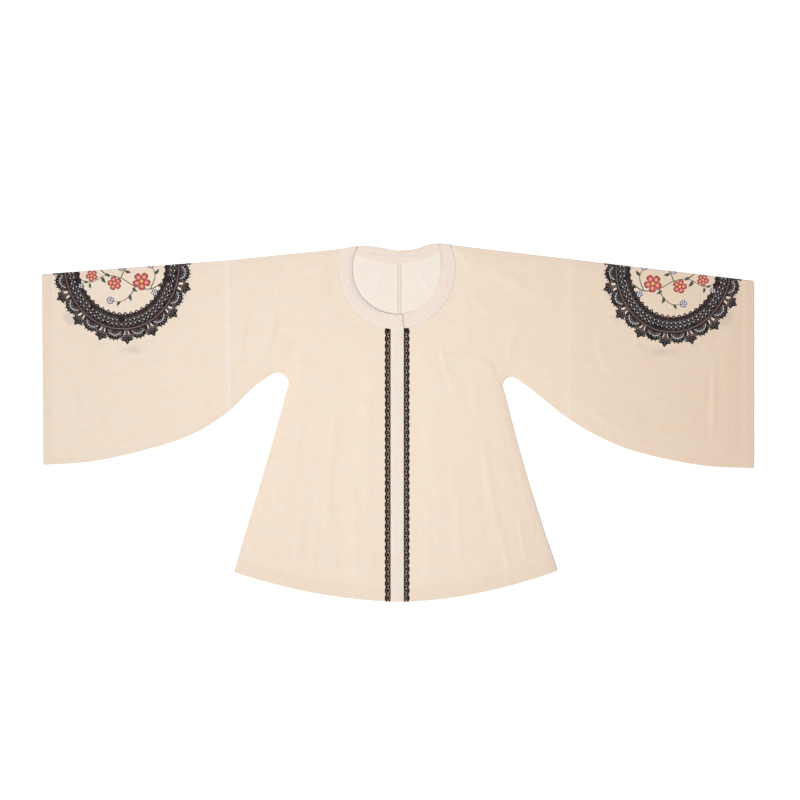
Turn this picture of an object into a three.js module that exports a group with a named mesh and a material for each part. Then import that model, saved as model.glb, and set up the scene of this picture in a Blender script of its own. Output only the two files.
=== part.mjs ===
// A round-collared hanfu blouse with wide sleeves, laid flat and face up on a surface.
// Millimetres, +Z up. +Y runs towards the neck and +X towards the wearer's left.
// The origin is at the bottom centre of the garment's box.
import * as THREE from 'three';

const { smoothstep, lerp, degToRad } = THREE.MathUtils;

// ---------------------------------------------------------------- cloth

const wall = 1.0;          // one layer of cloth
const gap = 0.3;           // clearance where pieces meet or lie on each other
const turnUp = 0.4;        // extra thickness of a turned-up edge, on the inside
const seamInset = 1.2;     // from the outline to the inside of a fold or a closed seam
const noseInset = 0.5;     // how far the faces stop short of a rounded edge
const edgeRun = 18;        // distance in which the front rises from a fold or seam

const backInside = wall;
const seamInside = backInside + gap;
const hemBackInside = backInside + turnUp;
const hemFrontInside = hemBackInside + gap;
const frontInside = hemFrontInside + turnUp;
const frontFace = frontInside + wall;

const puff = 1.3;          // air under the middle of the front
const calmRun = 60;        // the air and the folds die out this near an edge

// ---------------------------------------------------------------- strips and trims

const placket = { width: 27, wall: 1.2, topSteps: 4 };
const collar = { wall: 1.4, noseOut: 0.7, noseIn: 0.5, underEnd: 12.5 };
const lace = { inset: gap, depth: 10.8, scallop: 2.4, wall: 0.8, pitch: 15.35, repeats: 38, steps: 4 };
const laceHole = { fromEdge: 4.8, length: 7, width: 4.2, sides: 6 };

const halfPlacket = placket.width / 2;
const placketLift = placket.wall + gap;    // the upper front lies this much higher
const collarInside = collar.wall + gap;
const collarLift = collar.wall + gap;      // the upper collar end lies on the lower one
const liftFrom = degToRad(8);              // the lift fades between these turns round the neck
const liftTo = degToRad(75);
const frontStrip = { flat: 45, fade: 130 };   // flat cloth beside the placket, under the lace

// ---------------------------------------------------------------- cut, as it lies
// out is the distance from the centre front, up the distance towards the neck.

const neckCentreUp = 328;
const backNeckUp = 341;        // centre back, where the collar band is sewn on
const backCollarUp = 368.5;    // centre back, free edge of the collar band
const hemLowUp = -384.3;
const hemPower = 1.85;         // how the hem rises from the centre to the side
const hemDepth = 24;
const cuffDepth = 20;
const stepRun = 0.6;           // the edge of a turn-up, in plan

// seamRadius is that of the neck seam. freeRadii are those of the collar's free edge, evenly
// spaced from the front end to freeTop on the shoulder, and backFree goes on to the centre back.
const halves = {
  right: {
    side: -1, upper: true,
    seamRadius: 129, neckTopUp: 373,
    freeRadii: [97, 97, 97.5, 98, 100.5, 98.3],
    freeTop: [85.5, 376.5],
    backFree: [[16, 370.5], [38, 375], [60, 378.3], [80, 378]],
    foldSeam: [368.5, 347.5], foldCuff: [764, 318],
  },
  left: {
    side: 1, upper: false,
    seamRadius: 124, neckTopUp: 381,
    freeRadii: [96, 94.8, 92.8, 91, 92.5, 100.7],
    freeTop: [84, 383.6],
    backFree: [[27, 370.2], [48, 375.2], [60, 380], [72, 383]],
    foldSeam: [368.5, 350.5], foldCuff: [764, 304],
  },
};

// the underarm and the side seam, from the cuff round the armpit to the hem
const underarm = [
  { at: 'cuff', right: [761, -92], left: [764, -99] },
  { at: 'low sleeve', right: [655, -84], left: [655, -93] },
  { at: 'mid sleeve', right: [505, -49], left: [505, -61] },
  { at: 'sleeve bend', right: [432, -21], left: [432, -31] },
  { at: 'extension seam', right: [364, 23], left: [363, 10] },
  { at: 'upper sleeve', right: [305, 79], left: [296, 63] },
  { at: 'armpit', right: [256, 106], left: [243, 97] },
  { at: 'armpit turn', right: [235.5, 89], left: [226.5, 83] },
  { at: 'chest', right: [243, 52], left: [233, 52] },
  { at: 'waist', right: [276, -67], left: [264, -67] },
  { at: 'hip', right: [324, -227], left: [313, -227] },
  { at: 'hem turn', right: [345.5, -299], left: [336.5, -296] },
  { at: 'hem', right: [351.5, -322], left: [343.5, -319] },
];

// ribs run from the fold, neck or front edge (along) to a row of the underarm (foot).
// along: 0 to 1 is the shoulder fold, 1 to 2 the neck, 2 to 3 the centre front or back
const rows = { seam: 4, upperSleeve: 5, armpitTurn: 7, chest: 8, waist: 9, hip: 10, hemTurn: 11, hem: 12 };
const frontLength = neckCentreUp - halves.right.seamRadius - hemLowUp;
const hemTurnAlong = 3 - hemDepth / frontLength;
const stepAlong = 0.001;       // the edge of the turned-up hem, as a part of along and of a row
const stepRow = 0.01;
const bodyStations = [
  { along: 0, foot: rows.seam, ribs: 0, bow: 0, calm: 1 },
  { along: 0.45, foot: rows.upperSleeve, ribs: 3, bow: 0, calm: 1 },
  { along: 0.8, foot: 5.7, ribs: 3, bow: 0, calm: 1 },
  { along: 1, foot: 6.2, ribs: 2, bow: 0, calm: 1 },
  { along: 1.3, foot: rows.armpitTurn, ribs: 3, bow: 0, calm: 1 },
  { along: 1.6, foot: rows.chest, ribs: 3, bow: 0, calm: 1 },
  { along: 2, foot: rows.waist, ribs: 4, bow: 0, calm: 1 },
  { along: 2.6, foot: rows.hip, ribs: 6, bow: 0.6, calm: 1 },
  { along: hemTurnAlong - stepAlong, foot: rows.hemTurn - stepRow, ribs: 4, bow: 1, calm: 0 },
  { along: hemTurnAlong, foot: rows.hemTurn, ribs: 1, bow: 1, calm: 0, turned: true },
  { along: 3, foot: rows.hem, ribs: 1, bow: 1, calm: 0, turned: true },
];
const neckStations = bodyStations.filter((station) => station.along > 1 && station.along <= 2);
const neckSteps = neckStations.reduce((sum, station) => sum + station.ribs, 0);

// near the shoulder the ribs swell outwards, to leave the round neck at an open angle
const swell = { out: 55, up: 45, from: 0.3, full: 1, until: 1.45 };

const frontColumns = [0, 0.03, 0.08, 0.16, 0.27, 0.38, 0.5, 0.62, 0.73, 0.84, 0.92, 0.97, 1];
const backColumns = [0, 0.3, 0.7, 1];
const sleeveRibs = 13;

// the largest soft folds of the front layer: a ridge from one point to another
const folds = [
  { half: 'right', from: [236, 300], to: [140, 352], rise: 1.5, reach: 34 },
  { half: 'right', from: [262, 245], to: [306, 118], rise: 1.4, reach: 30 },
  { half: 'right', from: [240, 96], to: [150, 186], rise: 1.3, reach: 32 },
  { half: 'right', from: [236, 40], to: [312, -270], rise: 1.0, reach: 28 },
  { half: 'right', from: [128, 30], to: [146, -300], rise: 1.3, reach: 34 },
  { half: 'right', from: [196, -120], to: [226, -330], rise: 1.1, reach: 30 },
  { half: 'right', from: [455, 160], to: [590, 96], rise: 1.4, reach: 34 },
  { half: 'right', from: [590, -14], to: [715, -56], rise: 1.3, reach: 32 },
  { half: 'right', from: [390, 60], to: [520, -20], rise: 1.1, reach: 30 },
  { half: 'left', from: [92, 172], to: [136, 40], rise: 1.2, reach: 30 },
  { half: 'left', from: [176, 330], to: [300, 262], rise: 1.1, reach: 34 },
  { half: 'left', from: [236, 104], to: [262, 210], rise: 1.3, reach: 30 },
  { half: 'left', from: [226, 30], to: [304, -270], rise: 1.2, reach: 28 },
  { half: 'left', from: [182, -30], to: [238, -310], rise: 1.3, reach: 32 },
  { half: 'left', from: [112, -60], to: [132, -320], rise: 1.0, reach: 32 },
  { half: 'left', from: [400, 50], to: [540, -36], rise: 1.3, reach: 32 },
  { half: 'left', from: [682, 130], to: [678, -50], rise: 1.5, reach: 30 },
  { half: 'left', from: [520, 210], to: [600, 120], rise: 1.0, reach: 34 },
];

// ---------------------------------------------------------------- finishes

const cloth = (color) => new THREE.MeshStandardMaterial({ color, roughness: 0.9, metalness: 0 });
const bodyCloth = cloth(0xf3e2cf);
const sleeveCloth = cloth(0xefdfcc);
const bandCloth = cloth(0xefdfd0);
const laceYarn = new THREE.MeshStandardMaterial({ color: 0x1d1819, roughness: 0.8, metalness: 0 });

// ---------------------------------------------------------------- outline

function underarmCurve(halfName) {
  const points = underarm.map((row) => new THREE.Vector3(...row[halfName], 0));
  return new THREE.CatmullRomCurve3(points, false, 'centripetal');
}

function hemUp(halfName, out) {
  const [cornerOut, cornerUp] = underarm[rows.hem][halfName];
  return hemLowUp + (cornerUp - hemLowUp) * (Math.max(out, 0) / cornerOut) ** hemPower;
}

const between = (a, b, t) => [lerp(a[0], b[0], t), lerp(a[1], b[1], t)];

const roundNeck = (radius, turn) => [
  radius * Math.sin(turn),
  neckCentreUp - radius * Math.cos(turn),
];

const turnOf = ([out, up]) => Math.atan2(out, neckCentreUp - up);

// turns of the neck seam, from the front edge (0) to the shoulder fold (1)
function neckTurn(half, t) {
  const frontTurn = Math.asin(halfPlacket / half.seamRadius);
  const topTurn = Math.acos((neckCentreUp - half.neckTopUp) / half.seamRadius);
  return lerp(frontTurn, topTurn, t);
}

// the neck seam of the back layer, from the centre back (0) to the shoulder fold (1)
function backNeckPoint(half, t) {
  const [topOut, topUp] = roundNeck(half.seamRadius, neckTurn(half, 1));
  return [topOut * t, backNeckUp + (topUp - backNeckUp) * t * t];
}

// where the shoulder fold of a panel ends, beside the collar
const panelNeckTop = (half) => roundNeck(half.seamRadius + gap, neckTurn(half, 1));

// the upper end of a rib on the front and on the back layer
function frontEdge(halfName, along) {
  const half = halves[halfName];
  if (along <= 1) return between(half.foldSeam, panelNeckTop(half), along);
  if (along <= 2) return roundNeck(half.seamRadius + gap, neckTurn(half, 2 - along));
  const out = halfPlacket + gap / 2;
  const topUp = roundNeck(half.seamRadius + gap, neckTurn(half, 0))[1];
  return [out, lerp(topUp, hemUp(halfName, out), along - 2)];
}

function backEdge(halfName, along) {
  const half = halves[halfName];
  if (along <= 1) return between(half.foldSeam, panelNeckTop(half), along);
  const out = gap / 2;
  if (along <= 2) {
    const [neckOut, neckUp] = backNeckPoint(half, 2 - along);
    return [Math.max(neckOut, out), neckUp - gap];
  }
  return [out, lerp(backNeckUp - gap, hemUp(halfName, out), along - 2)];
}

// ---------------------------------------------------------------- heights

function foldRise(halfName, out, up) {
  let rise = 0;
  for (const fold of folds.filter((row) => row.half === halfName)) {
    const [fromOut, fromUp] = fold.from;
    const run = [fold.to[0] - fromOut, fold.to[1] - fromUp];
    const length = Math.hypot(...run);
    const t = ((out - fromOut) * run[0] + (up - fromUp) * run[1]) / length ** 2;
    const off = ((out - fromOut) * run[1] - (up - fromUp) * run[0]) / length;
    const across = Math.max(0, 1 - (off / fold.reach) ** 2) ** 2;
    const ends = Math.max(0, 1 - (2 * t - 1) ** 4);
    rise += fold.rise * across * ends;
  }
  return rise;
}

// the upper front lies on the lower placket, and sinks away from it
function frontLift(half, along, distance) {
  if (!half.upper || along <= 1) return 0;
  const turn = neckTurn(half, Math.max(0, 2 - along));
  const roundTheNeck = 1 - smoothstep(turn, liftFrom, liftTo);
  return placketLift * roundTheNeck * (1 - smoothstep(distance, frontStrip.flat, frontStrip.fade));
}

function frontUnderside(halfName, rib, point, v) {
  const lift = frontLift(halves[halfName], rib.along, rib.length * v);
  if (rib.turned) return hemFrontInside + lift;
  const fromStart = rib.length * v;
  const toSeam = rib.length * (1 - v);
  const startEdge = rib.folded ? smoothstep(fromStart, 0, edgeRun) : 1;
  const startCalm = rib.folded
    ? smoothstep(fromStart, 0, calmRun)
    : smoothstep(fromStart, frontStrip.flat, frontStrip.fade);
  const edge = startEdge * smoothstep(toSeam, 0, edgeRun);
  const calm = rib.calm * startCalm * smoothstep(toSeam, 0, calmRun);
  const loft = calm * (puff + foldRise(halfName, ...point));
  return lerp(seamInside, frontInside + loft, edge) + lift;
}

// ---------------------------------------------------------------- panels

function swellAt(along) {
  return smoothstep(along, swell.from, swell.full) * (1 - smoothstep(along, swell.full, swell.until));
}

// One rib: the front and back points of a slice through both layers.
function makeRib(halfName, station) {
  const foot = station.footPoint;
  const bulge = swellAt(station.along);
  const front = { start: station.front, along: station.along };
  const back = { start: station.back, along: station.along };
  for (const layer of [front, back]) {
    layer.length = Math.hypot(foot[0] - layer.start[0], foot[1] - layer.start[1]);
    layer.at = (v) => {
      const [out, up] = between(layer.start, foot, v);
      const hem = hemUp(halfName, out);
      const chord = lerp(hemUp(halfName, layer.start[0]), hemUp(halfName, foot[0]), v);
      const spread = 2 * v * (1 - v) * bulge;
      const rise = spread * swell.up + station.bow * (hem - chord);
      return [out + spread * swell.out + station.shift, up + rise];
    };
    layer.inset = (v, depth) => layer.at(v + Math.sign(0.5 - v) * (depth / layer.length));
  }
  const shape = { ...station, length: front.length };
  const last = frontColumns.length - 1;

  const frontOuter = [];
  const frontInner = [];
  frontColumns.forEach((v, column) => {
    const closed = column === last || (column === 0 && station.folded);
    const underside = frontUnderside(halfName, shape, front.at(v), v);
    const thickness = wall + (station.turned ? turnUp : 0);
    const outerPlan = closed ? front.inset(v, noseInset) : front.at(v);
    const innerPlan = closed ? front.inset(v, seamInset) : front.at(v);
    frontOuter.push([...outerPlan, underside + thickness]);
    frontInner.push([...innerPlan, underside]);
  });

  const backOuter = [];
  const backInner = [];
  const backTop = station.turned ? hemBackInside : backInside;
  for (const v of backColumns) {
    const closed = v === 1 || (v === 0 && station.folded);
    backOuter.push([...(closed ? back.inset(v, noseInset) : back.at(v)), 0]);
    backInner.push([...(closed ? back.inset(v, seamInset) : back.at(v)), backTop]);
  }

  const noseUp = (point) => point[2] / 2;
  return {
    folded: station.folded,
    frontOuter,
    frontInner,
    backOuter: backOuter.reverse(),
    backInner: backInner.reverse(),
    seamNose: [...front.at(1), noseUp(frontOuter[last])],
    foldNose: [...front.at(0), noseUp(frontOuter[0])],
  };
}

// Collects triangles. The points are given for the wearer's left half and mirrored for the right.
class Mesher {
  constructor(side) {
    this.side = side;
    this.positions = [];
  }

  triangle(a, b, c) {
    const corners = this.side > 0 ? [a, b, c] : [a, c, b];
    for (const [out, up, z] of corners) this.positions.push(this.side * out, up, z);
  }

  fan(corners) {
    for (let i = 1; i < corners.length - 1; i++) this.triangle(corners[0], corners[i], corners[i + 1]);
  }

  // a strip of quads between two rows of points
  strip(rowA, rowB) {
    for (let i = 0; i < rowA.length - 1; i++) this.fan([rowA[i], rowB[i], rowB[i + 1], rowA[i + 1]]);
  }

  geometry() {
    const geometry = new THREE.BufferGeometry();
    geometry.setAttribute('position', new THREE.Float32BufferAttribute(this.positions, 3));
    geometry.computeVertexNormals();
    return geometry;
  }
}

function endWall(mesher, rib, reversed) {
  const seamEnd = rib.frontOuter.length - 1;
  const foldEnd = rib.backOuter.length - 1;
  const seamOutside = [rib.frontOuter[seamEnd], rib.seamNose, rib.backOuter[0]];
  const faces = [[...seamOutside, rib.backInner[0], rib.frontInner[seamEnd]]];
  if (rib.folded) {
    const foldOutside = [rib.backOuter[foldEnd], rib.foldNose, rib.frontOuter[0]];
    faces.push([...foldOutside, rib.frontInner[0], rib.backInner[foldEnd]]);
  }
  const layers = [[rib.frontOuter, rib.frontInner], [rib.backOuter, rib.backInner]];
  for (const [outer, inner] of layers) {
    for (let i = 0; i < outer.length - 1; i++) {
      faces.push([outer[i], outer[i + 1], inner[i + 1], inner[i]]);
    }
  }
  for (const face of faces) mesher.fan(reversed ? face.reverse() : face);
}

// Both layers of a panel, closed along the seam and along the fold, open elsewhere.
function panelGeometry(halfName, ribs) {
  const mesher = new Mesher(halves[halfName].side);
  for (let i = 0; i < ribs.length - 1; i++) {
    const a = ribs[i];
    const b = ribs[i + 1];
    const outer = (rib) => [...rib.frontOuter, rib.seamNose, ...rib.backOuter];
    const inner = (rib) => [...rib.frontInner, ...rib.backInner];
    mesher.strip(outer(a), outer(b));
    mesher.strip(inner(b), inner(a));
    const start = (rib) => [rib.frontOuter[0], rib.frontInner[0]];
    const end = (rib) => [rib.backInner.at(-1), rib.backOuter.at(-1)];
    if (a.folded && b.folded) {
      const foldOuter = (rib) => [rib.backOuter.at(-1), rib.foldNose, rib.frontOuter[0]];
      const foldInner = (rib) => [rib.backInner.at(-1), rib.frontInner[0]];
      mesher.strip(foldOuter(a), foldOuter(b));
      mesher.strip(foldInner(b), foldInner(a));
    } else {
      mesher.strip(start(b), start(a));
      mesher.strip(end(b), end(a));
    }
    if (a.folded && !b.folded) {
      const foldEnd = [a.frontOuter[0], a.foldNose, a.backOuter.at(-1), a.backInner.at(-1)];
      mesher.fan([...foldEnd, a.frontInner[0]]);
    }
  }
  endWall(mesher, ribs[0], false);
  endWall(mesher, ribs.at(-1), true);
  return mesher.geometry();
}

function bodyRibs(halfName) {
  const curve = underarmCurve(halfName);
  const lastRow = underarm.length - 1;
  const ribs = [];
  bodyStations.forEach((station, index) => {
    const before = bodyStations[Math.max(0, index - 1)];
    for (let k = 1; k <= Math.max(1, station.ribs); k++) {
      const t = station.ribs ? k / station.ribs : 1;
      const along = lerp(before.along, station.along, t);
      const foot = curve.getPoint(lerp(before.foot, station.foot, t) / lastRow);
      ribs.push(makeRib(halfName, {
        along,
        front: frontEdge(halfName, along),
        back: backEdge(halfName, along),
        footPoint: [foot.x, foot.y],
        bow: lerp(before.bow, station.bow, t),
        calm: lerp(before.calm, station.calm, t),
        turned: Boolean(station.turned),
        folded: along <= 1,
        shift: along === 0 ? -gap / 2 : 0,
      }));
    }
  });
  return ribs;
}

function sleeveRibsOf(halfName) {
  const half = halves[halfName];
  const curve = underarmCurve(halfName);
  const seamAt = rows.seam / (underarm.length - 1);
  const span = half.foldCuff[0] - half.foldSeam[0];
  const turnAt = cuffDepth / span;
  const stepAt = turnAt + stepRun / span;
  const places = [
    { t: 0, turned: true },
    { t: turnAt, turned: true },
    { t: stepAt, turned: false },
  ];
  for (let k = 1; k <= sleeveRibs; k++) {
    places.push({ t: lerp(stepAt, 1, k / sleeveRibs), turned: false });
  }
  return places.map(({ t, turned }) => {
    const top = between(half.foldCuff, half.foldSeam, t);
    const foot = curve.getPoint(seamAt * t);
    return makeRib(halfName, {
      along: 0,
      front: top,
      back: top,
      footPoint: [foot.x, foot.y],
      bow: 0,
      calm: smoothstep(t * span, cuffDepth, cuffDepth + calmRun),
      turned,
      folded: true,
      shift: t === 1 ? gap / 2 : 0,
    });
  });
}

// ---------------------------------------------------------------- collar band

// Sections from the front end of one arm, over the shoulder, to the centre back.
function collarArm(halfName) {
  const half = halves[halfName];
  const freeTurn = turnOf(half.freeTop);
  const radii = new THREE.CatmullRomCurve3(half.freeRadii.map((r) => new THREE.Vector3(r, 0, 0)));
  const backPoints = [...half.backFree, half.freeTop].map((p) => new THREE.Vector3(...p, 0));
  const backCurve = new THREE.CatmullRomCurve3([new THREE.Vector3(0, backCollarUp, 0), ...backPoints]);
  const sections = [];
  const place = ([out, up], z) => [half.side * out, up, z];
  const section = (seam, free, outerZ, innerZ, outerUp = 0, innerUp = 0) => {
    const lift = ([out, up], by) => [out, up + by];
    sections.push([
      place(lift(seam, outerUp), outerZ),
      place(lift(seam, innerUp), innerZ),
      place(lift(free, innerUp), innerZ),
      place(lift(free, outerUp), outerZ),
    ]);
  };

  const endOut = half.upper ? halfPlacket : collar.underEnd;
  const endTurn = -Math.asin(endOut / half.seamRadius);
  for (let k = -1; k <= neckSteps; k++) {
    const t = Math.max(0, k / neckSteps);
    const turn = k < 0 ? endTurn : neckTurn(half, t);
    const innerTurn = k < 0 ? endTurn : lerp(neckTurn(half, 0), freeTurn, t);
    const freeRadius = radii.getPoint(t).x;
    const raised = half.upper ? collarLift * (1 - smoothstep(turn, liftFrom, liftTo)) : 0;
    const seam = roundNeck(half.seamRadius, turn);
    const free = roundNeck(freeRadius, innerTurn);
    const foldBack = t === 1 ? -noseInset : 0;
    section([seam[0], seam[1] + foldBack], [free[0], free[1] + foldBack],
      collarInside + collar.wall + raised, collarInside + raised);
  }

  const seamTop = roundNeck(half.seamRadius, neckTurn(half, 1));
  const noseZ = (collarInside + collar.wall) / 2;
  section(seamTop, half.freeTop, noseZ, noseZ, collar.noseOut, -collar.noseIn);

  for (let k = neckSteps; k >= 1; k--) {
    const t = k / neckSteps;
    const foldBack = k === neckSteps ? -noseInset : 0;
    const seam = k === neckSteps ? seamTop : backNeckPoint(half, t);
    const free = backCurve.getPoint(t);
    section([seam[0], seam[1] + foldBack], [free.x, free.y + foldBack], 0, collar.wall);
  }
  return sections;
}

function collarGeometry() {
  const centreBack = [
    [0, backNeckUp, 0],
    [0, backNeckUp, collar.wall],
    [0, backCollarUp, collar.wall],
    [0, backCollarUp, 0],
  ];
  const sections = [...collarArm('right'), centreBack, ...collarArm('left').reverse()];
  const mesher = new Mesher(1);
  const ring = (section) => [...section, section[0]];
  for (let i = 0; i < sections.length - 1; i++) {
    mesher.strip(ring(sections[i]), ring(sections[i + 1]));
  }
  mesher.fan([...sections[0]]);
  mesher.fan([...sections.at(-1)].reverse());
  return mesher.geometry();
}

// ---------------------------------------------------------------- plackets and lace

function placketGeometry(halfName) {
  const half = halves[halfName];
  const left = -halfPlacket + (half.upper ? gap / 2 : 0);
  const right = halfPlacket - (half.upper ? 0 : gap / 2);
  const topRadius = half.seamRadius + gap;
  const shape = new THREE.Shape();
  shape.moveTo(left, hemLowUp);
  shape.lineTo(right, hemLowUp);
  const topTurn = Math.asin(halfPlacket / topRadius);
  for (let k = 0; k <= placket.topSteps; k++) {
    const [x, y] = roundNeck(topRadius, lerp(topTurn, -topTurn, k / placket.topSteps));
    shape.lineTo(THREE.MathUtils.clamp(x, left, right), y);
  }
  const geometry = new THREE.ExtrudeGeometry(shape, { depth: placket.wall, bevelEnabled: false });
  geometry.translate(0, 0, frontFace - placket.wall + (half.upper ? placketLift : 0));
  return geometry;
}

// A scalloped tape with one open eyelet in each scallop, laid on the front beside the placket.
function laceGeometry(halfName) {
  const half = halves[halfName];
  const inner = halfPlacket + lace.inset;
  const length = lace.pitch * lace.repeats;
  const bottom = hemUp(halfName, inner + lace.depth) + gap;
  const shape = new THREE.Shape();
  shape.moveTo(inner, bottom);
  for (let k = 0; k <= lace.repeats * lace.steps; k++) {
    const phase = (k % lace.steps) / lace.steps;
    const out = inner + lace.depth + lace.scallop * Math.sin(Math.PI * phase);
    shape.lineTo(out, bottom + (k * lace.pitch) / lace.steps);
  }
  shape.lineTo(inner, bottom + length);
  shape.closePath();
  for (let k = 0; k < lace.repeats; k++) {
    const eye = new THREE.Path();
    const centre = [inner + laceHole.fromEdge, bottom + (k + 0.5) * lace.pitch];
    const points = Array.from({ length: laceHole.sides }, (_, side) => {
      const turn = (-2 * Math.PI * side) / laceHole.sides;
      const out = centre[0] + (Math.sin(turn) * laceHole.width) / 2;
      return new THREE.Vector2(out, centre[1] + (Math.cos(turn) * laceHole.length) / 2);
    });
    eye.setFromPoints(points);
    eye.closePath();
    shape.holes.push(eye);
  }
  const geometry = new THREE.ExtrudeGeometry(shape, { depth: lace.wall, bevelEnabled: false });
  geometry.translate(0, 0, frontFace + gap + (half.upper ? placketLift : 0));
  if (half.side > 0) return geometry;
  geometry.scale(-1, 1, 1);
  return flipFaces(geometry);
}

// mirroring turns a mesh inside out, so each triangle is wound the other way round
function flipFaces(geometry) {
  const { array } = geometry.attributes.position;
  for (let i = 0; i < array.length; i += 9) {
    for (let axis = 0; axis < 3; axis++) {
      [array[i + 3 + axis], array[i + 6 + axis]] = [array[i + 6 + axis], array[i + 3 + axis]];
    }
  }
  geometry.computeVertexNormals();
  return geometry;
}

// ---------------------------------------------------------------- the blouse

const group = new THREE.Group();

function addPiece(name, geometry, material) {
  const mesh = new THREE.Mesh(geometry, material);
  mesh.name = name;
  group.add(mesh);
}

for (const halfName of Object.keys(halves)) {
  addPiece(`body_panel_${halfName}`, panelGeometry(halfName, bodyRibs(halfName)), bodyCloth);
  addPiece(`sleeve_extension_${halfName}`, panelGeometry(halfName, sleeveRibsOf(halfName)), sleeveCloth);
  addPiece(`placket_${halfName}`, placketGeometry(halfName), bandCloth);
  addPiece(`lace_trim_${halfName}`, laceGeometry(halfName), laceYarn);
}
addPiece('collar_band', collarGeometry(), bandCloth);

export default group;
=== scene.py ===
import math
import bmesh
import bpy
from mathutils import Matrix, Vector, noise
from mathutils.bvhtree import BVHTree


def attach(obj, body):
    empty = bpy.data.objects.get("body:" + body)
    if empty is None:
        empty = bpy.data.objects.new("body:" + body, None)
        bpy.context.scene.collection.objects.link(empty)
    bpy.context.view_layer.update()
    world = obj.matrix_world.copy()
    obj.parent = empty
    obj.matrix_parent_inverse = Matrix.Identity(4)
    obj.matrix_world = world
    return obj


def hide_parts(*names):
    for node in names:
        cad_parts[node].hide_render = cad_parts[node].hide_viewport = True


# A hanfu blouse laid flat and face up. Sizes are millimetres unless a note says otherwise.
# out is the distance from the centre front, up the distance towards the neck, and side is
# -1 on the wearer's right and 1 on the wearer's left.

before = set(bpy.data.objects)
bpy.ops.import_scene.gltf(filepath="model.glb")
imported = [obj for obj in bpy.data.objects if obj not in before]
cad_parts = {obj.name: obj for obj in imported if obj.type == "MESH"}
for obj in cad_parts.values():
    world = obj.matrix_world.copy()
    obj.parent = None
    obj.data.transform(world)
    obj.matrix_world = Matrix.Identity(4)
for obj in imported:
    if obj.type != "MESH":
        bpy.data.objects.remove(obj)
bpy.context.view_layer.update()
mm = 0.001
mergeGap = 0.02               # points nearer than this are one

# camera: straight above the garment

cameraSetup = {
    "lens": 85,
    "sensor": 36,
    "frameWidth": 1720,       # what the picture spans on the floor
    "centre": (5.4, 47.8),
}


def addCamera(setup):
    data = bpy.data.cameras.new("overheadCamera")
    data.lens = setup["lens"]
    data.sensor_width = setup["sensor"]
    camera = bpy.data.objects.new("overheadCamera", data)
    height = setup["frameWidth"] * setup["lens"] / setup["sensor"]
    camera.location = (setup["centre"][0] * mm, setup["centre"][1] * mm, height * mm)
    bpy.context.collection.objects.link(camera)
    bpy.context.scene.camera = camera


addCamera(cameraSetup)
print("camera placed")

# the cut, as it lies

cut = {
    "neckCentreUp": 328,
    "backNeckUp": 341,
    "backCollarUp": 368.5,
    "hemPower": 1.85,         # how the hem rises from the centre to the side
    "hemDepth": 24,
    "hemReach": 360,          # further out there is no hem
    "cuffDepth": 20,
    "sleeveRun": 396,         # from the body seam to the cuff
    "halfPlacket": 13.5,
}

# seamRadius is that of the neck seam; freeRadii go along the free edge of the collar, evenly
# spaced from its front end to freeTop on the shoulder, and backFree runs from the centre back
# to there. squeeze narrows that half of the neck sideways
halves = {
    "Right": {
        "side": -1, "upper": True, "seamRadius": 128, "squeeze": 0.974,
        "neckTopUp": 373, "hemLowUp": -384.6,
        "freeRadii": (97, 97, 98.3, 99.5, 100, 101), "freeTop": (85.5, 378),
        "backFree": ((16, 370.5), (38, 375), (60, 378.1), (76, 378.4)),
        "foldSeam": (368.5, 347.5), "foldCuff": (764, 318),
    },
    "Left": {
        "side": 1, "upper": False, "seamRadius": 124, "squeeze": 1,
        "neckTopUp": 381, "hemLowUp": -385.8,
        "freeRadii": (96, 94.8, 92.8, 91, 92.5, 100.7), "freeTop": (84, 383.6),
        "backFree": ((27, 370.2), (48, 375.2), (60, 380), (72, 383)),
        "foldSeam": (368.5, 350.5), "foldCuff": (764, 304),
    },
}

# underarm and side seam, from the cuff round the armpit to the hem
underarm = {
    "Right": [
        (761, -92), (655, -84), (505, -49), (432, -21), (364, 23), (305, 79), (256, 106),
        (235.5, 89), (243, 52), (276, -67), (324, -227), (345.5, -299), (351.5, -322),
    ],
    "Left": [
        (764, -99), (655, -93), (505, -61), (432, -31), (363, 10), (296, 63), (243, 97),
        (226.5, 83), (233, 52), (264, -67), (313, -227), (336.5, -296), (343.5, -319),
    ],
}
seamRow, turnRow, chestRow, waistRow, hipRow, hemRow = 4, 7, 8, 9, 10, 12

# a rib crosses the panel from its start edge to a row of the underarm or side seam (foot).
# along: 0 to 1 is the shoulder fold, 1 to 2 the neck, 2 to 3 the centre front or back
bodyStations = [
    {"along": 0, "foot": seamRow, "bow": 0, "ribs": 0},
    {"along": 0.45, "foot": 5, "bow": 0, "ribs": 34},
    {"along": 0.8, "foot": 5.7, "bow": 0, "ribs": 20},
    {"along": 1, "foot": 6.2, "bow": 0, "ribs": 14},
    {"along": 1.3, "foot": turnRow, "bow": 0, "ribs": 24},
    {"along": 1.6, "foot": chestRow, "bow": 0, "ribs": 22},
    {"along": 2, "foot": waistRow, "bow": 0, "ribs": 28},
    {"along": 2.6, "foot": hipRow, "bow": 0.6, "ribs": 62},
    {"along": 2.935, "foot": 10.9, "bow": 1, "ribs": 44},
    {"along": 2.959, "foot": 11, "bow": 1, "ribs": 6},
    {"along": 3, "foot": hemRow, "bow": 1, "ribs": 18},
]

# near the shoulder the ribs swell outwards, to leave the round neck at an open angle
swell = {"out": 55, "up": 45, "from": 0.3, "full": 1, "until": 1.45}

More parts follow.
